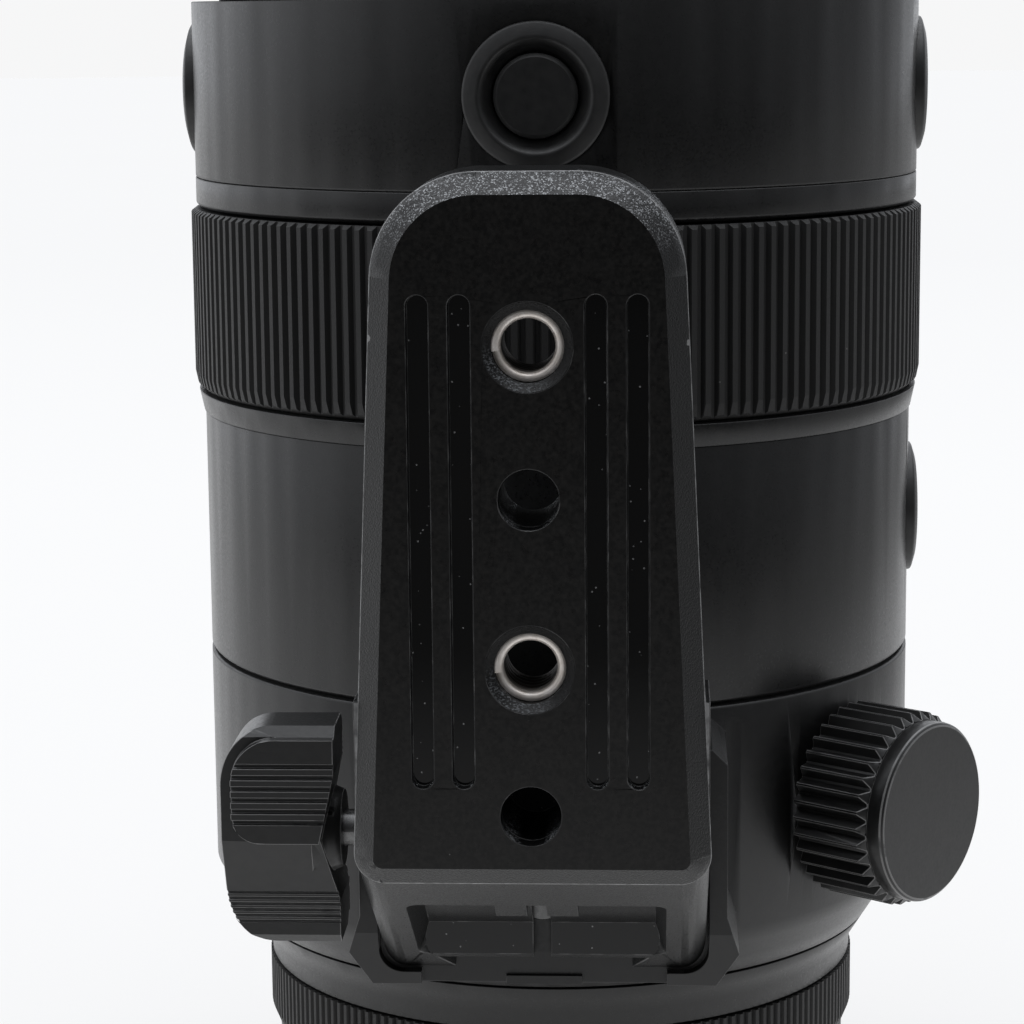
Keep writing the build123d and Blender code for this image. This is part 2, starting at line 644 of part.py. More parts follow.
def contact_block():
    """Curved insulator that carries the electrical contacts in the throat."""
    low = -THROAT_LENGTH + EDGE
    high = low + CONTACT_BLOCK_LENGTH
    block_ring = ring(CONTACT_BLOCK_R, CONTACT_BLOCK_IN_R, low, high)
    body = block_ring & sector(CONTACT_BLOCK_ANGLE, FLANGE_R, low, high)
    return body - contact_pin_list(CONTACT_R + SEAT_FIT, 0)


def contact_pin_list(radius, proud):
    middle = (CONTACT_BLOCK_R + CONTACT_BLOCK_IN_R) / 2
    low = -THROAT_LENGTH + EDGE - proud
    length = CONTACT_BLOCK_LENGTH / 2 + proud
    pins = []
    for index in range(CONTACT_COUNT):
        share = (index + 1) / (CONTACT_COUNT + 1) - 1 / 2
        a = math.radians(QUARTER_TURN + share * CONTACT_BLOCK_ANGLE)
        place = Pos(middle * math.cos(a), middle * math.sin(a), low + length / 2)
        pins.append(place * Cylinder(radius, length))
    return pins


def contact_pins():
    return Compound(children=[p.solid() for p in contact_pin_list(CONTACT_R, CONTACT_PROUD)])


def rear_baffle():
    """Light baffle behind the rear glass, screwed up inside the mount."""
    low = -THROAT_LENGTH + EDGE + CONTACT_BLOCK_LENGTH
    return revolved(
        (BAFFLE_IN_R, low),
        (BAFFLE_R, low),
        (BAFFLE_R, BAFFLE_TOP_Z),
        (BAFFLE_IN_R - EDGE, BAFFLE_TOP_Z),
    )


def main_board():
    """Ring-shaped circuit board with its chips on the side away from the camera."""
    body = ring(BOARD_R, BOARD_IN_R, BOARD_Z, BOARD_Z + BOARD_THICK)
    middle = (BOARD_R + BOARD_IN_R) / 2
    chip = Pos(middle, 0, BOARD_Z + BOARD_THICK + CHIP_THICK / 2) * Box(CHIP_SIDE, CHIP_SIDE, CHIP_THICK)
    for copy in turned(chip, CHIP_COUNT):
        body += copy
    return body


# Barrel shells


def rear_barrel():
    """Rear shell: mount seat, sleeve under the control ring, band and foot of the cone."""
    cone_r = BAND_R + (COLLAR_R - BAND_R) * (COLLAR_START_Z - PART_GAP - CONE_START_Z) / (
        CONE_END_Z - CONE_START_Z
    )
    seat_top = FLANGE_THICK + MOUNT_SEAT_THICK
    body = revolved(
        (THROAT_TUBE_R, FLANGE_THICK),
        (FLANGE_R + SEAT_FIT, FLANGE_THICK),
        (FLANGE_R + SEAT_FIT, GASKET_SEAT),
        (GASKET_R + SEAT_FIT, GASKET_SEAT),
        (GASKET_R + SEAT_FIT, 0),
        (REAR_BARREL_R - EDGE, 0),
        (REAR_BARREL_R, EDGE),
        (REAR_BARREL_R, REAR_BARREL_TOP_Z),
        (REAR_SLEEVE_R, REAR_BARREL_TOP_Z),
        (REAR_SLEEVE_R, CONTROL_RING_TOP_Z),
        (BAND_R, CONTROL_RING_TOP_Z),
        (BAND_R, CONE_START_Z),
        (cone_r, COLLAR_START_Z - PART_GAP),
        (LIP_R, COLLAR_START_Z - PART_GAP),
        (LIP_R, COLLAR_START_Z - LIP_DEPTH),
        (REAR_BORE_R, COLLAR_START_Z - LIP_DEPTH),
        (REAR_BORE_R, seat_top),
        (THROAT_TUBE_R, seat_top),
    )
    return body - mount_screw_list(SEAT_FIT)


def main_barrel():
    """Fixed barrel: sleeve under the collar, the plain middle shell and the sleeve under the focus ring."""
    body = revolved(
        (REAR_BORE_R, COLLAR_START_Z - LIP_DEPTH),
        (LIP_R, COLLAR_START_Z - LIP_DEPTH),
        (LIP_R, COLLAR_START_Z),
        (COLLAR_LAND_R - TURN_FIT, COLLAR_START_Z),
        (COLLAR_LAND_R - TURN_FIT, COLLAR_LAND_TOP_Z),
        (COLLAR_SLEEVE_R, COLLAR_LAND_TOP_Z),
        (COLLAR_SLEEVE_R, COLLAR_TOP_Z + PART_GAP),
        (LOWER_BARREL_R - EDGE, COLLAR_TOP_Z + PART_GAP),
        (LOWER_BARREL_R, COLLAR_TOP_Z + PART_GAP + EDGE),
        (LOWER_BARREL_R, LOWER_BARREL_TOP_Z),
        (RING_SLEEVE_R, LOWER_BARREL_TOP_Z),
        (RING_SLEEVE_R, FOCUS_RING_TOP_Z),
        (SHELL_BORE_R, FOCUS_RING_TOP_Z),
        (SHELL_BORE_R, WEB_Z + WEB_THICK),
        (WEB_HOLE_R, WEB_Z + WEB_THICK),
        (WEB_HOLE_R, WEB_Z),
        (SHELL_BORE_R, WEB_Z),
        (SHELL_BORE_R, COLLAR_LAND_TOP_Z + WEB_THICK),
        (REAR_BORE_R, COLLAR_LAND_TOP_Z + WEB_THICK),
    )
    body -= bezel_seat(SIDE_BUTTON_AZIMUTH, SIDE_BUTTON_Z, LOWER_BARREL_R)
    body -= panel_blank(PANEL_PROUD + OVERRUN, 0)
    body -= switch_well()
    body -= rod_list(SEAT_FIT)
    return body


def trim_ring():
    """Slim conical ring behind the focus ring."""
    top = FOCUS_RING_START_Z - PART_GAP
    return revolved(
        (RING_SLEEVE_R, LOWER_BARREL_TOP_Z),
        (TRIM_BASE_R, LOWER_BARREL_TOP_Z),
        (TRIM_TOP_R, top),
        (RING_SLEEVE_R, top),
    )


def button_azimuth(index):
    """Where a function button sits round the upper barrel."""
    return BUTTON_TURN + index * FULL_TURN / BUTTON_COUNT


def upper_barrel():
    """Fixed barrel with the four function buttons and the long sleeve under the zoom ring."""
    low = SEAM_BAND_TOP_Z
    body = revolved(
        (SHELL_BORE_R, low),
        (UPPER_BARREL_R - EDGE / 2, low),
        (UPPER_BARREL_R, low + EDGE / 2),
        (UPPER_BARREL_R, UPPER_BARREL_TOP_Z),
        (RING_SLEEVE_R, UPPER_BARREL_TOP_Z),
        (RING_SLEEVE_R, ZOOM_RING_TOP_Z),
        (SHELL_BORE_R, ZOOM_RING_TOP_Z),
    )
    for index in range(BUTTON_COUNT):
        body -= bezel_seat(button_azimuth(index), BUTTON_Z, UPPER_BARREL_R)
    return body - key_slot()


def seam_ring():
    """Slim ring between the focus ring and the upper barrel."""
    return revolved(
        (SHELL_BORE_R, FOCUS_RING_TOP_Z),
        (UPPER_BARREL_R - EDGE, FOCUS_RING_TOP_Z),
        (UPPER_BARREL_R, FOCUS_RING_TOP_Z + EDGE),
        (UPPER_BARREL_R, SEAM_BAND_TOP_Z),
        (SHELL_BORE_R, SEAM_BAND_TOP_Z),
    )


def key_slot():
    """The slot in the sleeve that the zoom key sweeps through."""
    margin = math.degrees((KEY_WIDTH / 2 + PIN_CLEARANCE) / RING_SLEEVE_R)
    z_low = KEY_Z - KEY_HEIGHT / 2 - PIN_CLEARANCE
    z_high = KEY_Z + KEY_HEIGHT / 2 + PIN_CLEARANCE
    slot_ring = ring(RING_SLEEVE_R + OVERRUN, SHELL_BORE_R - OVERRUN, z_low, z_high)
    wedge = sector(ZOOM_TURN + 2 * margin, GRIP_R, z_low, z_high)
    middle = KEY_AZIMUTH + ZOOM_TURN / 2
    return slot_ring & (Rot(0, 0, middle - HALF_TURN) * wedge)


def front_barrel():
    """Front shell with the web that closes the guide tube and holds the front cell."""
    web_top = GUIDE_TUBE_TOP_Z + WEB_THICK
    return revolved(
        (SHELL_BORE_R, ZOOM_RING_TOP_Z),
        (FRONT_BARREL_R - EDGE, ZOOM_RING_TOP_Z),
        (FRONT_BARREL_R, ZOOM_RING_TOP_Z + EDGE),
        (FRONT_BARREL_R, FRONT_BARREL_TOP_Z),
        (FRONT_BORE_R, FRONT_BARREL_TOP_Z),
        (FRONT_BORE_R, web_top),
        (FRONT_WEB_BORE_R, web_top),
        (FRONT_WEB_BORE_R, GUIDE_TUBE_TOP_Z),
        (SHELL_BORE_R, GUIDE_TUBE_TOP_Z),
    )


def filter_ring():
    """Front rim with the filter thread and the groove for a hood."""
    floor_z = FILTER_RING_TOP_Z - FILTER_THREAD_DEPTH
    return revolved(
        (RETAINER_IN_R + OVERRUN, FRONT_BARREL_TOP_Z),
        (FILTER_RING_R, FRONT_BARREL_TOP_Z),
        (FILTER_RING_R, HOOD_GROOVE_START_Z),
        (FILTER_RING_R - EDGE, HOOD_GROOVE_START_Z),
        (FILTER_RING_R - EDGE, HOOD_GROOVE_TOP_Z),
        (FILTER_RING_R, HOOD_GROOVE_TOP_Z),
        (FILTER_RING_R, FILTER_RING_TOP_Z - EDGE),
        (FILTER_RING_R - EDGE, FILTER_RING_TOP_Z),
        (FILTER_THREAD_MINOR_R, FILTER_RING_TOP_Z),
        (FILTER_THREAD_MINOR_R, floor_z),
        (RETAINER_IN_R + OVERRUN, floor_z - EDGE),
    )


# Rings that turn by hand


def focus_ring():
    """Focus ring: straight flutes that run out over a rounded rear rim."""
    low = FOCUS_RING_START_Z
    high = FOCUS_RING_TOP_Z - PART_GAP
    body = fluted_prism(FOCUS_RING_R, FLUTE_DEPTH, FLUTE_COUNT, low, high)
    blank = revolved(
        (RING_SLEEVE_R + TURN_FIT, low),
        (FOCUS_BEVEL_R, low),
        (FOCUS_RING_R - FOCUS_BEVEL_DROP * FOCUS_ROUND_SHARE, low + FOCUS_BEVEL * FOCUS_ROUND_SHARE),
        (FOCUS_RING_R, low + FOCUS_BEVEL),
        (FOCUS_RING_R, high - FLUTE_TOP_LAND),
        (FOCUS_RING_R - FLUTE_DEPTH, high),
        (RING_SLEEVE_R + TURN_FIT, high),
    )
    return body & blank


def control_ring():
    """Narrow ring next to the mount, finely fluted, bevelled towards the camera."""
    low = REAR_BARREL_TOP_Z + PART_GAP
    high = CONTROL_RING_TOP_Z - PART_GAP
    body = fluted_prism(CONTROL_RING_R, CONTROL_FLUTE_DEPTH, CONTROL_FLUTE_COUNT, low, high)
    blank = revolved(
        (CONTROL_RING_BORE_R, low),
        (REAR_BARREL_R, low),
        (CONTROL_RING_R, CONTROL_BEVEL_Z),
        (CONTROL_RING_R, high),
        (CONTROL_RING_BORE_R, high),
    )
    return body & blank


def zoom_ring():
    """Zoom ring under its rubber grip, with a pocket inside for the key."""
    low = UPPER_BARREL_TOP_Z + PART_GAP
    high = ZOOM_RING_TOP_Z - PART_GAP
    body = revolved(
        (RING_SLEEVE_R + TURN_FIT, low),
        (ZOOM_RING_R - EDGE, low),
        (ZOOM_RING_R, low + EDGE),
        (ZOOM_RING_R, GRIP_START_Z),
        (GRIP_SEAT_R, GRIP_START_Z),
        (GRIP_SEAT_R, GRIP_TOP_Z),
        (ZOOM_RING_R, GRIP_TOP_Z),
        (ZOOM_RING_R, high - EDGE),
        (ZOOM_RING_R - EDGE, high),
        (RING_SLEEVE_R + TURN_FIT, high),
    )
    return body - zoom_key()


def zoom_grip():
    """Fluted rubber sleeve stretched round the zoom ring."""
    body = fluted_prism(GRIP_R, GRIP_FLUTE_DEPTH, GRIP_FLUTE_COUNT, GRIP_START_Z, GRIP_TOP_Z)
    return body - Pos(0, 0, (GRIP_START_Z + GRIP_TOP_Z) / 2) * Cylinder(
        GRIP_SEAT_R, GRIP_TOP_Z - GRIP_START_Z + OVERRUN
    )


# Zoom mechanism


def zoom_key():
    """Block that carries the turn of the zoom ring through the sleeve to the cam tube."""
    return block(KEY_AZIMUTH, KEY_Z, KEY_WIDTH, KEY_HEIGHT, KEY_IN_R, KEY_R)


def helical_slot(azimuth, z_start, travel, r_low, r_high, width):
    """A slot that climbs evenly as the tube turns, with round ends."""
    middle = (r_low + r_high) / 2
    turns = ZOOM_TURN / FULL_TURN
    rise = abs(travel)
    helix = Helix(pitch=rise / turns, height=rise, radius=middle, lefthand=travel > 0)
    start = helix @ 0
    section_plane = Plane(origin=start, x_dir=(1, 0, 0), z_dir=helix % 0)
    cutter = sweep(section_plane * Rectangle(r_high - r_low, width), path=helix, is_frenet=True)
    a = math.radians(ZOOM_TURN if travel < 0 else -ZOOM_TURN)
    for angle, z in ((0, 0), (a, rise)):
        plane = Plane(
            origin=(r_low * math.cos(angle), r_low * math.sin(angle), z),
            z_dir=(math.cos(angle), math.sin(angle), 0),
        )
        cutter += extrude(plane * Circle(width / 2), amount=r_high - r_low)
    top_turn = math.degrees(a) if travel < 0 else 0
    place = Pos(0, 0, z_start + min(travel, 0)) * Rot(0, 0, azimuth - QUARTER_TURN - top_turn)
    return place * cutter


def cam_tube():
    """Tube with three slanted slots for each moving group, turned by the zoom key."""
    body = ring(CAM_TUBE_R, CAM_TUBE_BORE_R, CAM_TUBE_START_Z, GUIDE_TUBE_TOP_Z - PART_GAP)
    for phase, z, travel in (
        (VARIATOR_PHASE, VARIATOR_Z, VARIATOR_TRAVEL),
        (COMPENSATOR_PHASE, COMPENSATOR_Z, COMPENSATOR_TRAVEL),
    ):
        slot = helical_slot(
            phase, z, travel, CAM_TUBE_BORE_R - OVERRUN, CAM_TUBE_R + OVERRUN, 2 * (PIN_R + PIN_CLEARANCE)
        )
        for copy in turned(slot, PIN_COUNT):
            body -= copy
    return body - zoom_key()


def guide_tube():
    """Fixed tube whose straight slots keep the moving groups from turning."""
    low = WEB_Z + WEB_THICK
    step_z = CAM_TUBE_START_Z - PART_GAP
    body = revolved(
        (GUIDE_TUBE_BORE_R, low),
        (GUIDE_FLANGE_R, low),
        (GUIDE_FLANGE_R, low + GUIDE_FLANGE_THICK),
        (GUIDE_STEP_R, low + GUIDE_FLANGE_THICK),
        (GUIDE_STEP_R, step_z),
        (GUIDE_TUBE_R, step_z),
        (GUIDE_TUBE_R, GUIDE_TUBE_TOP_Z),
        (GUIDE_TUBE_BORE_R, GUIDE_TUBE_TOP_Z),
    )
    for phase, z, travel in (
        (VARIATOR_PHASE, VARIATOR_Z, VARIATOR_TRAVEL),
        (COMPENSATOR_PHASE, COMPENSATOR_Z, COMPENSATOR_TRAVEL),
    ):
        length = abs(travel) + 2 * (PIN_R + SLOT_RUN_OUT)
        plane = radial_plane(phase, GUIDE_TUBE_BORE_R - OVERRUN, z + travel / 2)
        outline = SlotOverall(length, 2 * (PIN_R + TURN_FIT), rotation=QUARTER_TURN)
        slot = extrude(plane * outline, amount=GUIDE_STEP_R + OVERRUN - GUIDE_TUBE_BORE_R)
        for copy in turned(slot, PIN_COUNT):
            body -= copy
    return body


def moving_cell(z_mid):
    """Ring that carries a moving glass group inside the guide tube."""
    low = z_mid - CELL_LENGTH / 2
    high = z_mid + CELL_LENGTH / 2
    outer = GUIDE_TUBE_BORE_R - TURN_FIT
    inner = outer - CELL_WALL
    return revolved(
        (inner - SHELF_REACH, low),
        (outer, low),
        (outer, high),
        (inner, high),
        (inner, low + SHELF_THICK),
        (inner - SHELF_REACH, low + SHELF_THICK),
    )


def pin_list(phase, z, clearance):
    """The cam followers of one moving group."""
    outer = GUIDE_TUBE_BORE_R - TURN_FIT
    follower = peg(phase, z, PIN_R + clearance, outer - CELL_WALL / 2, CAM_TUBE_R - PIN_CLEARANCE)
    return turned(follower, PIN_COUNT)


def variator_cell():
    return moving_cell(VARIATOR_Z) - pin_list(VARIATOR_PHASE, VARIATOR_Z, SEAT_FIT)


def variator_pins():
    return Compound(children=[p.solid() for p in pin_list(VARIATOR_PHASE, VARIATOR_Z, 0)])


def compensator_cell():
    return moving_cell(COMPENSATOR_Z) - pin_list(COMPENSATOR_PHASE, COMPENSATOR_Z, SEAT_FIT)


def compensator_pins():
    return Compound(children=[p.solid() for p in pin_list(COMPENSATOR_PHASE, COMPENSATOR_Z, 0)])


def cell_glass(z_mid, crown):
    """Glass seated on the shelf of a moving cell."""
    radius = GUIDE_TUBE_BORE_R - TURN_FIT - CELL_WALL
    low = z_mid - CELL_LENGTH / 2 + SHELF_THICK
    return lens_glass(radius, low, low + GLASS_EDGE, -abs(crown) / 2, crown)


def variator_glass():
    return cell_glass(VARIATOR_Z, -GROUP_CROWN)


def compensator_glass():
    return cell_glass(COMPENSATOR_Z, GROUP_CROWN)


# Optics that stay put, and the focus group


def front_cell():
    """Cup that holds the two front glass groups, seated on the front web."""
    low = FRONT_CELL_Z
    doublet_top = low + GLASS_EDGE * 2
    return revolved(
        (FRONT_WEB_BORE_R, low),
        (FRONT_CELL_R, low),
        (FRONT_CELL_R, FRONT_CELL_TOP_Z),
        (FRONT_GLASS_R, FRONT_CELL_TOP_Z),
        (FRONT_GLASS_R, FRONT_CELL_TOP_Z - GLASS_EDGE - RETAINER_THICK),
        (FRONT_DOUBLET_R, FRONT_CELL_TOP_Z - GLASS_EDGE - RETAINER_THICK),
        (FRONT_DOUBLET_R, doublet_top - GLASS_EDGE),
        (FRONT_WEB_BORE_R, doublet_top - GLASS_EDGE),
    )


def front_element():
    low = FRONT_CELL_TOP_Z - GLASS_EDGE - RETAINER_THICK
    return lens_glass(FRONT_GLASS_R, low, low + GLASS_EDGE, -FRONT_CROWN / 2, FRONT_CROWN)


def front_doublet():
    low = FRONT_CELL_Z + GLASS_EDGE
    return lens_glass(FRONT_DOUBLET_R, low, low + GLASS_EDGE, 0, DOUBLET_CROWN)


def retaining_ring():
    """Ring screwed down on the front element."""
    low = FRONT_CELL_TOP_Z - RETAINER_THICK + EDGE
    outer = FRONT_GLASS_R - SEAT_FIT
    return revolved(
        (RETAINER_IN_R, low),
        (outer, low),
        (outer, FRONT_CELL_TOP_Z),
        (RETAINER_IN_R + EDGE, FRONT_CELL_TOP_Z),
    )


def rear_cell():
    """Housing of the rear glass, with the plate that carries the focus rods."""
    plate_low = REAR_CELL_TOP_Z - WEB_THICK
    body = revolved(
        (REAR_GLASS_R, REAR_CELL_Z),
        (REAR_GLASS_R + GLASS_EDGE, REAR_CELL_Z),
        (REAR_DOUBLET_R + GLASS_EDGE, plate_low),
        (REAR_CELL_R, plate_low),
        (REAR_CELL_R, REAR_CELL_TOP_Z + WEB_THICK),
        (REAR_CELL_R - GLASS_EDGE / 2, REAR_CELL_TOP_Z + WEB_THICK),
        (REAR_CELL_R - GLASS_EDGE / 2, REAR_CELL_TOP_Z),
        (REAR_DOUBLET_R, REAR_CELL_TOP_Z),
        (REAR_DOUBLET_R, REAR_CELL_TOP_Z - GLASS_EDGE),
        (REAR_GLASS_R, REAR_CELL_TOP_Z - GLASS_EDGE),
    )
    return body - rod_list(SEAT_FIT)


def rear_element():
    return lens_glass(REAR_GLASS_R, REAR_CELL_Z, REAR_CELL_Z + GLASS_EDGE, -REAR_CROWN, REAR_CROWN)


def rear_doublet():
    low = REAR_CELL_TOP_Z - GLASS_EDGE
    return lens_glass(REAR_DOUBLET_R, low, low + GLASS_EDGE, -REAR_CROWN, REAR_CROWN)


def rod_list(clearance):
    """The two rods that the focus group runs on."""
    low = REAR_CELL_TOP_Z - WEB_THICK / 2
    length = WEB_Z + WEB_THICK / 2 - low
    rod = Pos(ROD_CIRCLE_R, 0, low + length / 2) * Cylinder(ROD_R + clearance, length)
    return turned(rod, ROD_COUNT)


def focus_rods():
    return Compound(children=[r.solid() for r in rod_list(0)])


def focus_cell():
    """Focus group's ring, which slides on two rods."""
    low = FOCUS_Z - FOCUS_CELL_LENGTH / 2
    high = FOCUS_Z + FOCUS_CELL_LENGTH / 2
    body = revolved(
        (FOCUS_GLASS_R - SHELF_REACH, low),
        (FOCUS_CELL_R, low),
        (FOCUS_CELL_R, high),
        (FOCUS_GLASS_R, high),
        (FOCUS_GLASS_R, low + SHELF_THICK),
        (FOCUS_GLASS_R - SHELF_REACH, low + SHELF_THICK),
    )
    return body - rod_list(TURN_FIT)


def focus_glass():
    low = FOCUS_Z - FOCUS_CELL_LENGTH / 2 + SHELF_THICK
    return lens_glass(FOCUS_GLASS_R, low, low + GLASS_EDGE, -REAR_CROWN, -REAR_CROWN)


def focus_motor():
    """Stepping motor that drives the focus group, held under the barrel's inner web."""
    length = MOTOR_LENGTH
    body = Pos(0, MOTOR_CIRCLE_R, WEB_Z - length / 2) * Cylinder(MOTOR_R, length)
    spindle_length = length * 2
    spindle_middle = WEB_Z - length - spindle_length / 2
    spindle = Pos(0, MOTOR_CIRCLE_R, spindle_middle) * Cylinder(SPINDLE_R, spindle_length)
    return body + spindle


def iris_plate():
    """Plate of the aperture unit, seated on the barrel's inner web."""
    low = WEB_Z + WEB_THICK
    body = ring(IRIS_R, IRIS_IN_R, low, low + IRIS_THICK)
    return body - blade_pin_list(SEAT_FIT)


def blade_pin_list(clearance):
    low = WEB_Z + WEB_THICK + IRIS_THICK / 2
    length = IRIS_THICK / 2 + BLADE_THICK
    middle = (BLADE_IN_R + BLADE_R) / 2
    pin = Pos(0, middle, low + length / 2) * Cylinder(BLADE_PIN_R + clearance, length)
    return turned(pin, BLADE_COUNT)


def iris_blades():
    """The aperture blades, drawn back to full aperture, each with its pivot pin."""
    low = WEB_Z + WEB_THICK + IRIS_THICK
    high = low + BLADE_THICK
    angle = FULL_TURN / BLADE_COUNT - BLADE_GAP_ANGLE
    blade = ring(BLADE_R, BLADE_IN_R, low, high) & sector(angle, IRIS_R, low, high)
    blades = turned(blade, BLADE_COUNT)
    pins = blade_pin_list(0)
    return Compound(children=[(b + p).solid() for b, p in zip(blades, pins)])


# Function buttons and switches


def bezel_seat(azimuth, z, barrel_r):
    """The round seat of a bezel in the barrel wall, with the hole for the button's stem."""
    floor_h = barrel_r - BEZEL_DEPTH
    seat = peg(azimuth, z, BEZEL_R, floor_h, barrel_r + OVERRUN)
    stem_hole = peg(azimuth, z, STEM_R + PART_GAP, SHELL_BORE_R - OVERRUN, floor_h + OVERRUN)
    return seat + stem_hole


def bezel(azimuth, z, barrel_r):
    """Raised round frame of a function button, with the groove round the button."""
    floor_h = barrel_r - BEZEL_DEPTH
    body = peg(azimuth, z, BEZEL_R, floor_h, barrel_r + BEZEL_PROUD)
    body = chamfer(body.faces().sort_by(radial_axis(azimuth))[-1].edges(), BEZEL_CHAMFER)
    body -= peg(azimuth, z, BEZEL_BORE_R, floor_h + BEZEL_FLOOR, barrel_r + BEZEL_PROUD + OVERRUN)
    return body - peg(azimuth, z, STEM_R + TURN_FIT, floor_h - OVERRUN, floor_h + BEZEL_FLOOR + OVERRUN)


def radial_axis(azimuth):
    plane = radial_plane(azimuth, 0, 0)
    return Axis((0, 0, 0), plane.z_dir)


def button(azimuth, z, barrel_r):
    """Function button with the stem that guides it through the bezel's floor."""
    top_h = barrel_r + BEZEL_PROUD - BUTTON_RECESS
    cap = peg(azimuth, z, BUTTON_R, top_h - BUTTON_THICK, top_h)
    cap = chamfer(cap.faces().sort_by(radial_axis(azimuth))[-1].edges(), EDGE)
    return cap + peg(azimuth, z, STEM_R, top_h - BUTTON_THICK - STEM_LENGTH, top_h - BUTTON_THICK)


def button_bezels():
    azimuths = [button_azimuth(index) for index in range(BUTTON_COUNT)]
    bezels = [bezel(azimuth, BUTTON_Z, UPPER_BARREL_R).solid() for azimuth in azimuths]
    bezels.append(bezel(SIDE_BUTTON_AZIMUTH, SIDE_BUTTON_Z, LOWER_BARREL_R).solid())
    return Compound(children=bezels)


def panel_blank(proud, inset):
    """The curved outline of the switch panel, between its back and its face."""
    back = LOWER_BARREL_R - PANEL_THICK + PANEL_PROUD
    shell = ring(LOWER_BARREL_R + proud, back, PANEL_Z, PANEL_Z + PANEL_HEIGHT)
    plane = radial_plane(PANEL_AZIMUTH, 0, PANEL_Z + PANEL_HEIGHT / 2)
    outline = RectangleRounded(PANEL_WIDTH - 2 * inset, PANEL_HEIGHT - 2 * inset, PANEL_THICK)
    return shell & extrude(plane * outline, amount=LOWER_BARREL_R + 2 * proud)


def switch_z(index):
    return PANEL_Z + PANEL_HEIGHT / 2 + (index - (SWITCH_COUNT - 1) / 2) * SWITCH_PITCH


def switch_panel():
    """Curved panel with a straight window for each sliding switch."""
    body = panel_blank(PANEL_PROUD, 0)
    back = SHELL_BORE_R
    for index in range(SWITCH_COUNT):
        plane = radial_plane(PANEL_AZIMUTH, back, switch_z(index))
        outline = RectangleRounded(SWITCH_SLOT_LENGTH, SWITCH_SLOT_WIDTH, SWITCH_SLOT_CORNER_R)
        body -= extrude(plane * outline, amount=LOWER_BARREL_R)
    return body - switch_foot_room()


def switch_foot_top():
    """Distance from the axis at which the feet of the switches run under the panel."""
    return LOWER_BARREL_R - PANEL_THICK


def switch_foot_room():
    """Flat-roofed room behind the panel for the feet of the switches."""
    width = SWITCH_SLOT_LENGTH + 2 * SWITCH_FOOT_MARGIN + 2 * PART_GAP
    height = SWITCH_PITCH * SWITCH_COUNT - PART_GAP
    z_mid = PANEL_Z + PANEL_HEIGHT / 2
    return block(PANEL_AZIMUTH, z_mid, width, height, SHELL_BORE_R, switch_foot_top() + PART_GAP)


def switch_well():
    """The well in the barrel wall behind the panel."""
    width = SWITCH_SLOT_LENGTH + 2 * SWITCH_FOOT_MARGIN + 2 * PART_GAP
    height = SWITCH_PITCH * SWITCH_COUNT - PART_GAP
    z_mid = PANEL_Z + PANEL_HEIGHT / 2
    low = switch_foot_top() - SWITCH_FOOT_THICK - PART_GAP
    return block(PANEL_AZIMUTH, z_mid, width, height, low, LOWER_BARREL_R)


def switch_slider(index):
    """Sliding switch: finger piece, and the foot that holds it behind the panel."""
    plane = radial_plane(PANEL_AZIMUTH, switch_foot_top(), switch_z(index))
    offset = -SWITCH_TRAVEL / 2
    knob_top = LOWER_BARREL_R + PANEL_PROUD + SWITCH_KNOB_PROUD
    knob = plane * (Pos(offset, 0) * Rectangle(SWITCH_KNOB_LENGTH, SWITCH_SLOT_WIDTH - 2 * PART_GAP))
    body = extrude(knob, amount=knob_top - switch_foot_top())
    foot_length = SWITCH_KNOB_LENGTH + 2 * SWITCH_FOOT_MARGIN
    foot_width = SWITCH_SLOT_WIDTH + 2 * SWITCH_FOOT_MARGIN
    foot = plane * (Pos(offset, 0) * Rectangle(foot_length, foot_width))
    return body + extrude(foot, amount=-SWITCH_FOOT_THICK)


# Tripod collar


def boss_plane(distance):
    """The plane square to the foot's direction, at this distance from the axis, zero at the flange."""
    return radial_plane(0, distance, 0)


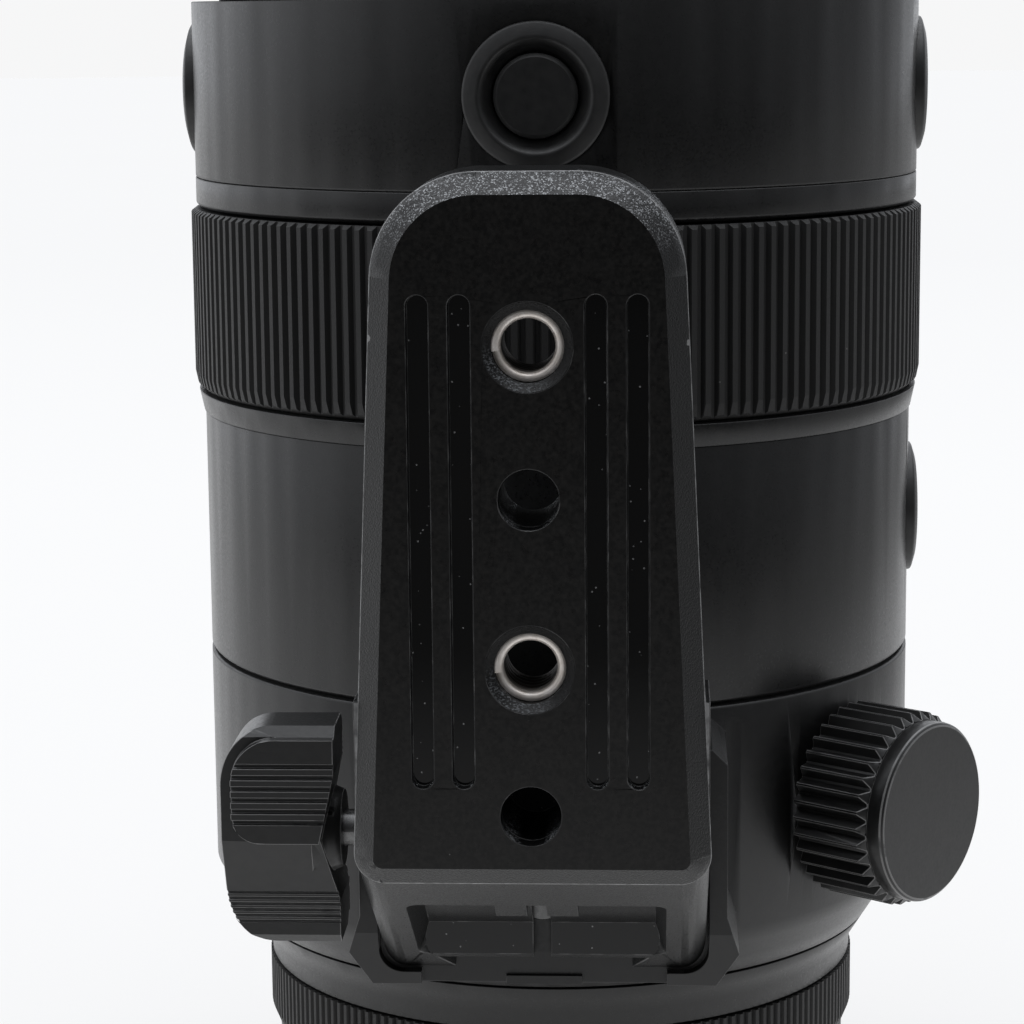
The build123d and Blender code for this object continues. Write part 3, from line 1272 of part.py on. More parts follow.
def boss_block():
    """Block below the ring, flared and bevelled at the rear, with a raised rim beside the foot's neck."""
    half = BOSS_WIDTH / 2
    wide = half + BOSS_FLARE
    wide_z = BOSS_Z + BOSS_BEVEL_LENGTH
    right = [
        (wide - BOSS_BEVEL_WIDTH, BOSS_Z),
        (wide, wide_z),
        (half, wide_z + BOSS_FLARE_LENGTH),
        (half, BOSS_TOP_Z - BOSS_TOP_BEVEL),
        (half - BOSS_TOP_BEVEL, BOSS_TOP_Z),
    ]
    left = [(-x, z) for x, z in reversed(right)]
    outline = Polyline(*right, *left, close=True)
    root_h = math.sqrt(BOSS_ROOT_R**2 - wide**2) - OVERRUN
    body = extrude(boss_plane(root_h) * make_face(outline), amount=BOSS_RIM_H - root_h)
    body -= Pos(0, 0, (BOSS_Z + BOSS_TOP_Z) / 2) * Cylinder(BOSS_ROOT_R, BOSS_TOP_Z - BOSS_Z + OVERRUN)
    pocket_half = NECK_WIDTH / 2 + POCKET_GAP
    pocket_low = NECK_REAR_Z - POCKET_GAP
    pocket_high = BOSS_TOP_Z + OVERRUN
    pocket = Polyline(
        (-pocket_half, pocket_high),
        (-pocket_half, pocket_low),
        (pocket_half, pocket_low),
        (pocket_half, pocket_high),
        close=True,
    )
    face = make_face(pocket)
    face = fillet(face.vertices().sort_by(Axis.Y)[:2], NECK_CORNER_R)
    body -= extrude(boss_plane(BOSS_FACE_H) * face, amount=BOSS_RIM_H - BOSS_FACE_H + OVERRUN)
    mouth_low = BOSS_Z - OVERRUN
    mouth_length = pocket_low + NECK_CORNER_R - mouth_low
    mouth_z = mouth_low + mouth_length / 2
    body -= block(0, mouth_z, POCKET_MOUTH_WIDTH, mouth_length, BOSS_FACE_H, BOSS_RIM_H + OVERRUN)
    body -= boss_slant()
    stop_z = BOSS_Z + STOP_LENGTH / 2
    return body + block(0, stop_z, STOP_WIDTH, STOP_LENGTH, BOSS_FACE_H - OVERRUN, BOSS_FACE_H + STOP_RISE)


def boss_slant():
    """The wedge that slants the rear end of the rims down towards the face."""
    half = BOSS_WIDTH / 2 + BOSS_FLARE + OVERRUN
    outline = Polyline(
        (-half, -BOSS_FACE_H - BOSS_SLANT_LIP, BOSS_Z),
        (-half, -BOSS_FACE_H - BOSS_SLANT_LIP, BOSS_Z - OVERRUN),
        (-half, -BOSS_RIM_H - OVERRUN, BOSS_Z - OVERRUN),
        (-half, -BOSS_RIM_H - OVERRUN, BOSS_Z + BOSS_SLANT_LENGTH),
        (-half, -BOSS_RIM_H, BOSS_Z + BOSS_SLANT_LENGTH),
        close=True,
    )
    return extrude(make_face(outline), amount=2 * half, dir=(1, 0, 0))


def tripod_collar():
    """Collar ring with the boss that carries the foot and the seat of the lock knob."""
    cone_share = (COLLAR_START_Z - CONE_START_Z) / (CONE_END_Z - CONE_START_Z)
    start_r = BAND_R + (COLLAR_R - BAND_R) * cone_share
    body = revolved(
        (COLLAR_LAND_R, COLLAR_START_Z),
        (start_r, COLLAR_START_Z),
        (COLLAR_R, CONE_END_Z),
        (COLLAR_R, COLLAR_TOP_Z - EDGE / 2),
        (COLLAR_R - EDGE / 2, COLLAR_TOP_Z),
        (COLLAR_SLEEVE_R + TURN_FIT, COLLAR_TOP_Z),
        (COLLAR_SLEEVE_R + TURN_FIT, COLLAR_LAND_TOP_Z - PART_GAP),
        (COLLAR_LAND_R, COLLAR_LAND_TOP_Z - PART_GAP),
    )
    body += boss_block()
    body += peg(LOCK_AZIMUTH, LOCK_Z, LOCK_SEAT_R, BOSS_ROOT_R, LOCK_SEAT_H)
    body -= peg(LOCK_AZIMUTH, LOCK_Z, LOCK_SCREW_R + TURN_FIT, COLLAR_LAND_R, LOCK_SEAT_H + OVERRUN)
    return body - rail_screw_list(SEAT_FIT)


def dovetail(clearance, z_low, z_high):
    """A dovetail prism along the lens that widens away from the collar."""
    half_base = RAIL_BASE_WIDTH / 2 + clearance
    half_top = RAIL_WIDTH / 2 + clearance
    h_low = -BOSS_FACE_H
    h_high = -BOSS_FACE_H - RAIL_THICK - clearance
    outline = Polyline(
        (-half_base, h_low, z_low),
        (half_base, h_low, z_low),
        (half_top, h_high, z_low),
        (-half_top, h_high, z_low),
        close=True,
    )
    return extrude(make_face(outline), amount=z_high - z_low, dir=(0, 0, 1))


def foot_rail():
    """Dovetail rail on the collar's boss, which the foot slides over."""
    return dovetail(0, RAIL_Z, RAIL_TOP_Z) - rail_screw_list(SEAT_FIT)


def rail_screw_list(clearance):
    """The sunk screws that hold the rail on the boss."""
    top_h = BOSS_FACE_H + RAIL_THICK
    pitch = (RAIL_TOP_Z - RAIL_Z) / RAIL_SCREW_COUNT
    screws = []
    for index in range(RAIL_SCREW_COUNT):
        z = RAIL_Z + pitch * (index + 1 / 2)
        head = peg(0, z, RAIL_SCREW_HEAD_R + clearance, top_h - RAIL_SCREW_HEAD_DEPTH, top_h)
        shank = peg(0, z, RAIL_SCREW_R + clearance, top_h - RAIL_SCREW_LENGTH, top_h)
        screws.append(head + shank)
    return screws


def rail_screws():
    return Compound(children=[s.solid() for s in rail_screw_list(0)])


def lock_knob():
    """Toothed knob that clamps the collar on the barrel."""
    teeth = fluted_outline(
        LOCK_KNOB_R, LOCK_TOOTH_DEPTH, LOCK_TOOTH_COUNT, LOCK_TOOTH_SHARE, LOCK_TOOTH_SHARE
    )
    base = radial_plane(LOCK_AZIMUTH, LOCK_BASE_H, LOCK_Z)
    blank = peg(LOCK_AZIMUTH, LOCK_Z, LOCK_KNOB_R, LOCK_BASE_H, LOCK_TEETH_TOP_H)
    blank = chamfer(blank.faces().sort_by(radial_axis(LOCK_AZIMUTH))[-1].edges(), LOCK_TOOTH_DEPTH)
    body = blank & extrude(base * teeth, amount=LOCK_TEETH_TOP_H - LOCK_BASE_H)
    return body - peg(
        LOCK_AZIMUTH, LOCK_Z, LOCK_SCREW_R + SEAT_FIT, LOCK_BASE_H - OVERRUN, LOCK_SCREW_HEAD_H
    )


def lock_knob_cap():
    """Smooth cap on the end of the lock knob."""
    body = peg(LOCK_AZIMUTH, LOCK_Z, LOCK_CAP_R, LOCK_TEETH_TOP_H, LOCK_FACE_H)
    return chamfer(body.faces().sort_by(radial_axis(LOCK_AZIMUTH))[-1].edges(), LOCK_CAP_CHAMFER)


def lock_screw():
    return peg(LOCK_AZIMUTH, LOCK_Z, LOCK_SCREW_R, LOCK_SCREW_TIP_H, LOCK_SCREW_HEAD_H)


# Tripod foot


def foot_plate():
    """Foot plate: wider at the rear, large round corners in front, a bevel round the face."""
    rear = FOOT_REAR_WIDTH / 2
    front = FOOT_FRONT_WIDTH / 2
    outline = Polyline(
        (-rear, FOOT_REAR_Z), (rear, FOOT_REAR_Z), (front, FOOT_FRONT_Z), (-front, FOOT_FRONT_Z), close=True
    )
    face = make_face(outline)
    face = fillet(face.vertices().sort_by(Axis.Y)[-2:], FOOT_FRONT_CORNER_R)
    face = fillet(face.vertices().sort_by(Axis.Y)[:2], FOOT_REAR_CORNER_R)
    body = extrude(boss_plane(FOOT_FACE_H - FOOT_PLATE_THICK) * face, amount=FOOT_PLATE_THICK)
    return chamfer(body.faces().sort_by(radial_axis(0))[-1].edges(), FOOT_CHAMFER)


def foot_neck():
    """Neck between the rail and the plate, sloping back to the rear edge of the plate."""
    base_h = BOSS_FACE_H + PART_GAP
    plate_back_h = FOOT_FACE_H - FOOT_PLATE_THICK
    arc_h = plate_back_h - NECK_FILLET_R
    arc_z = NECK_FRONT_Z + NECK_FILLET_R
    bend = NECK_FILLET_R * math.sqrt(1 / 2)
    half = NECK_WIDTH / 2
    edges = [
        Polyline(
            (-half, -plate_back_h, arc_z),
            (-half, -NECK_LIP_H, arc_z),
            (-half, -NECK_LIP_H, FOOT_REAR_Z),
            (-half, -base_h, NECK_REAR_Z),
            (-half, -base_h, NECK_FRONT_Z),
            (-half, -arc_h, NECK_FRONT_Z),
        ),
        ThreePointArc(
            (-half, -arc_h, NECK_FRONT_Z),
            (-half, -arc_h - bend, arc_z - bend),
            (-half, -plate_back_h, arc_z),
        ),
    ]
    outline = Curve() + edges
    body = extrude(make_face(outline), amount=NECK_WIDTH, dir=(1, 0, 0))
    slope = body.faces().filter_by(lambda f: f.normal_at().Z < -1 / 2).sort_by(Axis.Z)[0]
    sides = [e for e in slope.edges() if abs(e.tangent_at(0).X) < 1 / 2]
    return fillet(sides, NECK_CORNER_R)


def slope_plane():
    """The plane of the neck's rear slope, in the middle of its window, its Y axis up the slope."""
    rise = FOOT_REAR_Z - NECK_REAR_Z
    run = NECK_LIP_H - BOSS_FACE_H - PART_GAP
    middle_h = (WINDOW_LOW_H + WINDOW_HIGH_H) / 2
    middle_z = NECK_REAR_Z + rise * (middle_h - BOSS_FACE_H - PART_GAP) / run
    return Plane(origin=(0, -middle_h, middle_z), x_dir=(1, 0, 0), z_dir=(0, -rise, -run))


def foot_window():
    """Pocket in the neck's rear slope, flat below, with two tabs and a pin hole on its back wall."""
    rise = FOOT_REAR_Z - NECK_REAR_Z
    run = NECK_LIP_H - BOSS_FACE_H - PART_GAP
    height = (WINDOW_HIGH_H - WINDOW_LOW_H) * math.hypot(rise, run) / run
    plane = slope_plane()
    outline = plane * RectangleRounded(WINDOW_WIDTH, height, WINDOW_CORNER_R)
    window = extrude(outline, amount=-WINDOW_DEPTH, taper=WINDOW_DRAFT) + extrude(outline, amount=OVERRUN)
    for side in (-1, 1):
        x = side * (WINDOW_TAB_GAP + WINDOW_TAB_WIDTH) / 2
        y = (height - WINDOW_TAB_REACH) / 2
        tab_depth = WINDOW_DEPTH - WINDOW_TAB_SINK
        place = plane * Pos(x, y, -WINDOW_DEPTH + tab_depth / 2)
        window -= place * Box(WINDOW_TAB_WIDTH, WINDOW_TAB_REACH, tab_depth)
    pin_place = plane * Pos(WINDOW_PIN_X, height * WINDOW_PIN_SHARE, -WINDOW_DEPTH)
    window += extrude(pin_place * Circle(WINDOW_PIN_R), amount=-WINDOW_PIN_DEPTH)
    room_length = FOOT_FRONT_Z - NECK_REAR_Z
    room_z = (FOOT_FRONT_Z + NECK_REAR_Z) / 2
    return window & block(0, room_z, NECK_WIDTH, room_length, WINDOW_LOW_H, FOOT_FACE_H)


def foot_groove(x):
    """One of the shallow round-ended grooves along the face of the foot."""
    length = GROOVE_END_Z - GROOVE_START_Z
    middle = (GROOVE_END_Z + GROOVE_START_Z) / 2
    plane = radial_plane(0, FOOT_FACE_H - GROOVE_DEPTH, middle)
    outline = Pos(x, 0) * SlotOverall(length, GROOVE_WIDTH, rotation=QUARTER_TURN)
    return extrude(plane * outline, amount=GROOVE_DEPTH + OVERRUN)


def tripod_foot():
    """Foot: plate and neck in one piece, with its holes, grooves, window and dovetail socket."""
    body = foot_plate() + foot_neck()
    body -= foot_window()
    body -= dovetail(PART_GAP, NECK_REAR_Z - OVERRUN, RAIL_TOP_Z + PART_GAP)
    slit_h = WING_H + WING_SCREW_R * 2
    slit_low = NECK_REAR_Z - OVERRUN
    slit_length = NECK_FRONT_Z + NECK_FILLET_R - slit_low
    body -= block(0, slit_low + slit_length / 2, CLAMP_SLIT, slit_length, BOSS_FACE_H, slit_h)
    plate_back_h = FOOT_FACE_H - FOOT_PLATE_THICK
    for z in (INSERT_1_Z, INSERT_2_Z):
        body -= peg(0, z, INSERT_R + SEAT_FIT, plate_back_h - OVERRUN, FOOT_FACE_H + OVERRUN)
        body -= peg(0, z, INSERT_SEAT_R, FOOT_FACE_H - INSERT_SEAT_DEPTH, FOOT_FACE_H + OVERRUN)
    body -= peg(0, PLAIN_HOLE_1_Z, PLAIN_HOLE_R, plate_back_h - OVERRUN, FOOT_FACE_H + OVERRUN)
    body -= peg(0, PLAIN_HOLE_2_Z, PLAIN_HOLE_R, plate_back_h, FOOT_FACE_H + OVERRUN)
    for x in (GROOVE_INNER_X, GROOVE_OUTER_X):
        for side in (-1, 1):
            body -= foot_groove(side * x)
    bore_length = WING_SCREW_END_X + PART_GAP + NECK_WIDTH / 2 + OVERRUN
    bore_middle = WING_SCREW_END_X + PART_GAP - bore_length / 2
    bore = Pos(bore_middle, -WING_H, WING_Z) * Rot(0, QUARTER_TURN, 0) * Cylinder(
        WING_SCREW_R + TURN_FIT, bore_length
    )
    return body - bore


def thread_inserts():
    """The two steel thread inserts in the foot, sunk below the face."""
    top_h = FOOT_FACE_H - INSERT_SEAT_DEPTH
    sleeves = []
    for z in (INSERT_1_Z, INSERT_2_Z):
        sleeve = peg(0, z, INSERT_R, top_h - INSERT_LENGTH, top_h)
        sleeve -= peg(0, z, INSERT_BORE_R, top_h - INSERT_LENGTH - OVERRUN, top_h + OVERRUN)
        sleeves.append(sleeve.solid())
    return Compound(children=sleeves)


# Wing knob


def wing_plane(x):
    """The plane square to the wing screw, its X axis to the foot's face, its Y axis up the lens."""
    return Plane(origin=(x, -WING_H, WING_Z), x_dir=(0, -1, 0), z_dir=(-1, 0, 0))


def wing_profile():
    """Outline of the two staggered finger wings, the same when turned half round."""
    half = [
        (WING_BACK_OFFSET - WING_BEVEL, -WING_HALF_HEIGHT),
        (WING_BACK_OFFSET, -WING_PAD_TOP),
        (WING_BACK_OFFSET, -WING_SLOPE_LENGTH),
        (WING_CORE_OFFSET, 0),
        (WING_CORE_OFFSET, WING_PAD_TOP),
        (WING_CORE_OFFSET - WING_BEVEL, WING_HALF_HEIGHT),
    ]
    other = [(-u, -v) for u, v in half]
    return make_face(Polyline(*half, *other, close=True))


def wing_pad():
    """Raised pad on the near wing, its outer corners rounded."""
    outer_x = WING_OUTER_X + WING_PAD_INSET
    pad_top_z = WING_Z + WING_PAD_TOP
    low_end = [(outer_x, WING_Z), (WING_INNER_X, WING_Z)]
    high_end = [(WING_INNER_X, pad_top_z), (outer_x, pad_top_z)]
    face = make_face(Polyline(*low_end, *high_end, close=True))
    low_corner, high_corner = face.vertices().sort_by(Axis.X)[:2].sort_by(Axis.Y)
    face = fillet(low_corner, WING_PAD_INNER_R)
    high_corner = face.vertices().sort_by(Axis.Y)[-2:].sort_by(Axis.X)[0]
    face = fillet(high_corner, WING_PAD_OUTER_R)
    base_h = WING_H + WING_CORE_OFFSET - WING_BEVEL
    return extrude(boss_plane(base_h) * face, amount=WING_PAD_PROUD + WING_BEVEL)


def wing_notch():
    """Shallow V along the inner side, deepest at the screw."""
    outline = Polyline(
        (WING_INNER_X + OVERRUN, WING_Z - WING_HALF_HEIGHT),
        (WING_INNER_X + OVERRUN, WING_Z + WING_HALF_HEIGHT),
        (WING_INNER_X - WING_NOTCH, WING_Z),
        close=True,
    )
    return extrude(boss_plane(WING_H - WING_HALF_HEIGHT) * make_face(outline), amount=2 * WING_HALF_HEIGHT)


def wing_silhouette():
    """The wings seen from the foot's face: straight inside, rounded at the outer end."""
    round_x = WING_OUTER_X + WING_ROUND_X
    round_v = WING_HALF_HEIGHT - WING_ROUND_Z
    top = WING_Z + WING_HALF_HEIGHT
    low = WING_Z - WING_HALF_HEIGHT
    edges = [
        Polyline((round_x, low), (WING_INNER_X, low), (WING_INNER_X, top), (round_x, top)),
        Line((WING_OUTER_X, WING_Z + round_v), (WING_OUTER_X, WING_Z - round_v)),
    ]
    for start, side in ((QUARTER_TURN, 1), (HALF_TURN, -1)):
        centre = (round_x, WING_Z + side * round_v)
        edges.append(
            EllipticalCenterArc(
                centre, WING_ROUND_X, WING_ROUND_Z, start_angle=start, arc_size=QUARTER_TURN
            )
        )
    depth = 2 * WING_HALF_HEIGHT
    return extrude(boss_plane(WING_H - depth / 2) * make_face(Curve() + edges), amount=depth)


def wing_grooves(offset, middle, pitch, width, depth):
    """Straight grooves across a finger pad, on both wings."""
    length = abs(WING_OUTER_X - WING_INNER_X) + 2 * OVERRUN
    x = (WING_OUTER_X + WING_INNER_X) / 2
    cutters = []
    for index in range(WING_RIDGE_COUNT):
        v = middle + (index - (WING_RIDGE_COUNT - 1) / 2) * pitch
        for side in (-1, 1):
            h = WING_H + side * offset
            cutters.append(Pos(x, -h, WING_Z + side * v) * Box(length, 2 * depth, width))
    return cutters


def wing_knob():
    """Wing knob of the foot's clamp screw."""
    length = WING_INNER_X - WING_OUTER_X
    body = extrude(wing_plane(WING_INNER_X) * wing_profile(), amount=length) & wing_silhouette()
    knob_axis = Axis((WING_INNER_X, -WING_H, WING_Z), (1, 0, 0))
    pad = wing_pad()
    body += pad
    body += pad.rotate(knob_axis, HALF_TURN)
    body -= wing_notch()
    hub_length = WING_HUB_PROUD + WING_NOTCH + WING_BEVEL
    hub_place = wing_plane(WING_HUB_X) * Pos(0, 0, hub_length / 2)
    body += hub_place * Cone(WING_HUB_R, WING_HUB_ROOT_R, hub_length)
    body -= wing_grooves(
        WING_PAD_OFFSET, WING_RIDGE_MIDDLE, WING_RIDGE_PITCH, WING_RIDGE_WIDTH, WING_RIDGE_DEPTH
    )
    body -= wing_grooves(
        WING_BACK_OFFSET, -WING_FINE_MIDDLE, WING_FINE_PITCH, WING_FINE_WIDTH, WING_FINE_DEPTH
    )
    bore = extrude(
        wing_plane(WING_HUB_X + OVERRUN) * Circle(WING_SCREW_R + SEAT_FIT),
        amount=WING_HUB_X + OVERRUN - WING_SCREW_HEAD_X,
    )
    return body - bore


def wing_screw():
    """Clamp screw, from inside the wing knob to the far jaw of the neck."""
    return extrude(
        wing_plane(WING_SCREW_END_X) * Circle(WING_SCREW_R), amount=WING_SCREW_END_X - WING_SCREW_HEAD_X
    )


def all_nodes():
    """Every piece of the lens under its name."""
    nodes = {
        "bayonet_mount": bayonet_mount(),
        "mount_screws": mount_screws(),
        "mount_gasket": mount_gasket(),
        "contact_block": contact_block(),
        "contact_pins": contact_pins(),
        "rear_baffle": rear_baffle(),
        "main_board": main_board(),
        "rear_barrel": rear_barrel(),
        "main_barrel": main_barrel(),
        "trim_ring": trim_ring(),
        "seam_ring": seam_ring(),
        "upper_barrel": upper_barrel(),
        "front_barrel": front_barrel(),
        "filter_ring": filter_ring(),
        "button_bezels": button_bezels(),
        "switch_panel": switch_panel(),
        "focus_ring": focus_ring(),
        "control_ring": control_ring(),
        "zoom_ring": zoom_ring(),
        "zoom_grip": zoom_grip(),
        "zoom_key": zoom_key(),
        "cam_tube": cam_tube(),
        "guide_tube": guide_tube(),
        "variator_cell": variator_cell(),
        "variator_glass": variator_glass(),
        "variator_pins": variator_pins(),
        "compensator_cell": compensator_cell(),
        "compensator_glass": compensator_glass(),
        "compensator_pins": compensator_pins(),
        "front_cell": front_cell(),
        "front_element": front_element(),
        "front_doublet": front_doublet(),
        "retaining_ring": retaining_ring(),
        "rear_cell": rear_cell(),
        "rear_element": rear_element(),
        "rear_doublet": rear_doublet(),
        "focus_rods": focus_rods(),
        "focus_cell": focus_cell(),
        "focus_glass": focus_glass(),
        "focus_motor": focus_motor(),
        "iris_plate": iris_plate(),
        "iris_blades": iris_blades(),
        "tripod_collar": tripod_collar(),
        "foot_rail": foot_rail(),
        "rail_screws": rail_screws(),
        "lock_knob": lock_knob(),
        "lock_knob_cap": lock_knob_cap(),
        "lock_screw": lock_screw(),
        "tripod_foot": tripod_foot(),
        "thread_inserts": thread_inserts(),
        "wing_knob": wing_knob(),
        "wing_screw": wing_screw(),
        "side_button": button(SIDE_BUTTON_AZIMUTH, SIDE_BUTTON_Z, LOWER_BARREL_R),
    }
    for index in range(BUTTON_COUNT):
        name = f"function_button_{index + 1}"
        nodes[name] = button(button_azimuth(index), BUTTON_Z, UPPER_BARREL_R)
    for index, name in enumerate(("stabiliser_switch", "focus_limit_switch", "focus_mode_switch")):
        nodes[name] = switch_slider(index)
    return nodes


def main():
    os.makedirs("parts", exist_ok=True)
    for name, shape in all_nodes().items():
        export_step(shape, f"parts/{name}.step")


if __name__ == "__main__":
    main()
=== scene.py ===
"""Looks of the camera zoom lens: materials, threads, marks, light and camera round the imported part."""

import bmesh
import bpy
import math
from mathutils import Matrix, Vector


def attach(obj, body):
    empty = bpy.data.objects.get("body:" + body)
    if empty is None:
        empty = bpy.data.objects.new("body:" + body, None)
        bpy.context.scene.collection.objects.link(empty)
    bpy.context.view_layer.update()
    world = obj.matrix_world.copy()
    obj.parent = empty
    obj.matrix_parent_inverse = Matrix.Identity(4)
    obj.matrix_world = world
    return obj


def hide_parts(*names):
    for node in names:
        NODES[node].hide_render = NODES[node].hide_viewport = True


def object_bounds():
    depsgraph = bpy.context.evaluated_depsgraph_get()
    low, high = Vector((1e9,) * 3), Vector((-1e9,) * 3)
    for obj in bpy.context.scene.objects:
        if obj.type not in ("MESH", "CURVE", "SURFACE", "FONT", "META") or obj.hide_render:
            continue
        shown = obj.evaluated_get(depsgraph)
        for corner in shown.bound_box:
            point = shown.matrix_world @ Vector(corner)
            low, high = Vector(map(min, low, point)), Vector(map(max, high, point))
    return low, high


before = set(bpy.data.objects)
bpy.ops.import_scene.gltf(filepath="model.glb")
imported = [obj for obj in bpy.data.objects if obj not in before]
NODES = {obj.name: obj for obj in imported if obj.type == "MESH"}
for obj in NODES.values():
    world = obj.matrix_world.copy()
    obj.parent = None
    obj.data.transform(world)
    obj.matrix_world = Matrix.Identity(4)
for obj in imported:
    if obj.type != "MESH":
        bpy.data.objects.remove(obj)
bpy.context.view_layer.update()
cad_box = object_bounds()

# Camera, as fitted to the photograph: metres and degrees
CAMERA_DISTANCE = 0.35002
CAMERA_TURN = math.radians(2.0)
CAMERA_HEIGHT = 0.134
CAMERA_PITCH = math.radians(9.8252)
CAMERA_PAN = math.radians(-0.9124)
CAMERA_ROLL = math.radians(-0.5287)
CAMERA_LENS_MM = 102.06
SENSOR_MM = 36.0
CLIP_START_SHARE = 0.01
CLIP_END_SHARE = 10

# Room: its colours, the cosines between which each part of it changes, and how bright that part gets
BACKDROP = (0.925, 0.926, 0.930, 1.0)
ROOM_LEFT = (0.90, 0.92, 0.96, 1.0)
ROOM_RIGHT = (0.38, 0.39, 0.41, 1.0)
ROOM_RIGHT_COSINES = (0.30, 0.92)
CEILING_COSINES = (0.60, 0.95)
SIDE_COSINES = (0, 1)
CAMERA_SIDE_SHARE = 0.08
BACK_SHARE = 1.25
CEILING_SHARE = 2.9

# Floor: metres, clouds and grain in waves per metre, and the shares of its glow that reach the lens
FLOOR_WIDTH = 8.0
FLOOR_DEPTH = 6.0
FLOOR_GAP = 0.0002
FLOOR_COLOUR = 0.25
FLOOR_CLOUDS = 3
FLOOR_CLOUD_SHARE = 0.98
FLOOR_GRAIN = 400
FLOOR_ROUGHNESS = (0.7, 0.8)
FLOOR_GLOW = 0.645
FLOOR_FADE = 0.952
FLOOR_FADE_SPAN = (0.5, 1.3)
FLOOR_FRONT_SPAN = (-0.42, -0.09)
FLOOR_FRONT_SHARE = 0.12
FLOOR_RIGHT_SLOPE = 0.176
FLOOR_RIGHT_EDGE = 0.075
FLOOR_RIGHT_REACH = 0.25
FLOOR_RIGHT_SHARE = 0.45

# Places on the lens, metres and degrees
TOP_AZIMUTH = 180.0
UPPER_BARREL_R = 0.04288
BARREL_R = 0.0424
COLLAR_R = 0.04242
REAR_BARREL_R = 0.0351
BUTTON_COUNT = 4
BUTTON_AZIMUTH = -0.7
BUTTON_Z = 0.12503
SIDE_BUTTON_AZIMUTH = 90.0
SIDE_BUTTON_Z = 0.07420

# Steps of round pieces, and edges
ROUND_STEPS = 64
SMOOTH_ANGLE = math.radians(35)
WELD_DISTANCE = 0.000002
EDGE_WIDTH = 0.00012
EDGE_ANGLE = math.radians(35)
FINE_EDGE_WIDTHS = {"tripod_foot": 0.00010, "wing_knob": 0.00008, "lock_knob": 0.00008}
FINE_EDGE_ANGLE = math.radians(50)
EDGE_SEGMENTS = 2
MATRIX_SIZE = 4

# Thread inserts of the foot and their sunk seats; the wire's section is in shares of its depth and height
INSERT_PLACES = (0.102697, 0.071650)
INSERT_TOP_H = 0.0782
INSERT_LENGTH = 0.0094
INSERT_R = 0.00347
INSERT_BORE_R = 0.0026
INSERT_PITCH = 0.00127
WIRE_HEIGHT_SHARE = 0.47
WIRE_SECTION_SHARES = ((0, 0.20), (0.10, 0.58), (0.28, 0.88), (0.50, 1.0), (0.80, 0.97), (1.0, 0.80))
WIRE_START = math.radians(188)
SINK_R = 0.00429
SINK_TOP_H = 0.07899
SINK_LOW_H = 0.07825

# Front rim
RIM_R = 0.0440
RIM_LOW = 0.2120
RIM_TOP = 0.2195
RIM_EDGE = 0.0004
RIM_BORE_R = 0.0381
RIM_FLOOR = 0.2141
RIM_FLOOR_R = 0.0367
RIM_THREAD_DEPTH = 0.00042
RIM_THREAD_PITCH = 0.00075
RIM_THREAD_END = 0.0006
RIM_ROWS_A_TURN = 8
RIM_STEPS = 144
HOOD_GROOVE_LOW = 0.2139
HOOD_GROOVE_TOP = 0.21575
HOOD_GROOVE_DEPTH = 0.0004

# Screws of the mount
MOUNT_SCREW_COUNT = 4
MOUNT_SCREW_CIRCLE_R = 0.0280
MOUNT_SCREW_HEAD_R = 0.00148
MOUNT_SCREW_HEAD_DEPTH = 0.0010
MOUNT_SCREW_EDGE = 0.000125
MOUNT_SCREW_SHANK_R = 0.00084
MOUNT_SCREW_LENGTH = 0.0060
CROSS_ARMS = 4
CROSS_REACH = 0.00088
CROSS_WIDTH = 0.00034
CROSS_DEPTH = 0.00062
CROSS_TAPER_SHARE = 0.55

# Rings round the buttons: radius, and height over the barrel
BEZEL_PROFILE = (
    (0.00460, -0.00120), (0.00780, -0.00120), (0.00780, 0.00018), (0.00772, 0.00034), (0.00750, 0.00047),
    (0.00640, 0.00080), (0.00622, 0.00084), (0.00602, 0.00080), (0.00585, 0.00066), (0.00540, 0.00005),
    (0.00505, -0.00030), (0.00480, -0.00045), (0.00468, -0.00060), (0.00460, -0.00090),
)

# White marks: each span is from a low to a high place along the lens
MARK_PROUD = 0.00004
MARK_LINE = 0.00045
MARK_CORNER_SHARE = 0.6
MARK_CORNER_STEPS = 3
ZOOM_RING_R = 0.0430
ZOOM_NUMBER_Z = 0.1382
ZOOM_NUMBER_SIZE = 0.0040
ZOOM_NUMBER_AZIMUTHS = {"70": 180.0, "100": 153.0, "135": 126.0, "200": 100.0}
ZOOM_INDEX_SPAN = (0.1333, 0.1349)
BARREL_INDEX_SPAN = (0.0592, 0.0616)
COLLAR_INDEX_SPAN = (0.0548, 0.0572)
MOUNT_INDEX_Z = 0.0052
MOUNT_INDEX_R = 0.0015
MOUNT_INDEX_PROUD = 0.00045
MOUNT_INDEX_ROWS = 6
PANEL_AZIMUTH = 122.0
PANEL_R = 0.0432
SWITCH_PLACES = (0.0662, 0.0732, 0.0802)
SWITCH_TICK_X = 0.0068
SWITCH_TICK_LENGTH = 0.0018
SWITCH_WORD_SIZE = 0.0019
SWITCH_WORD_X = 0.0077

# Noise: octaves of detail, and the spans of its values that are used
WEAVE_DETAIL = 1.0
LOW_DETAIL = 2.0
DETAIL = 3.0
FINE_DETAIL = 4.0
GRAIN_SPAN = (0.3, 0.7)
STAIN_SPAN = (0.35, 0.65)

# Sockets of the mix node for numbers and for colours
MIX_FACTOR = 0
MIX_NUMBERS = (2, 3)
MIX_NUMBER_RESULT = 0
MIX_COLOURS = (6, 7)
MIX_COLOUR_RESULT = 2


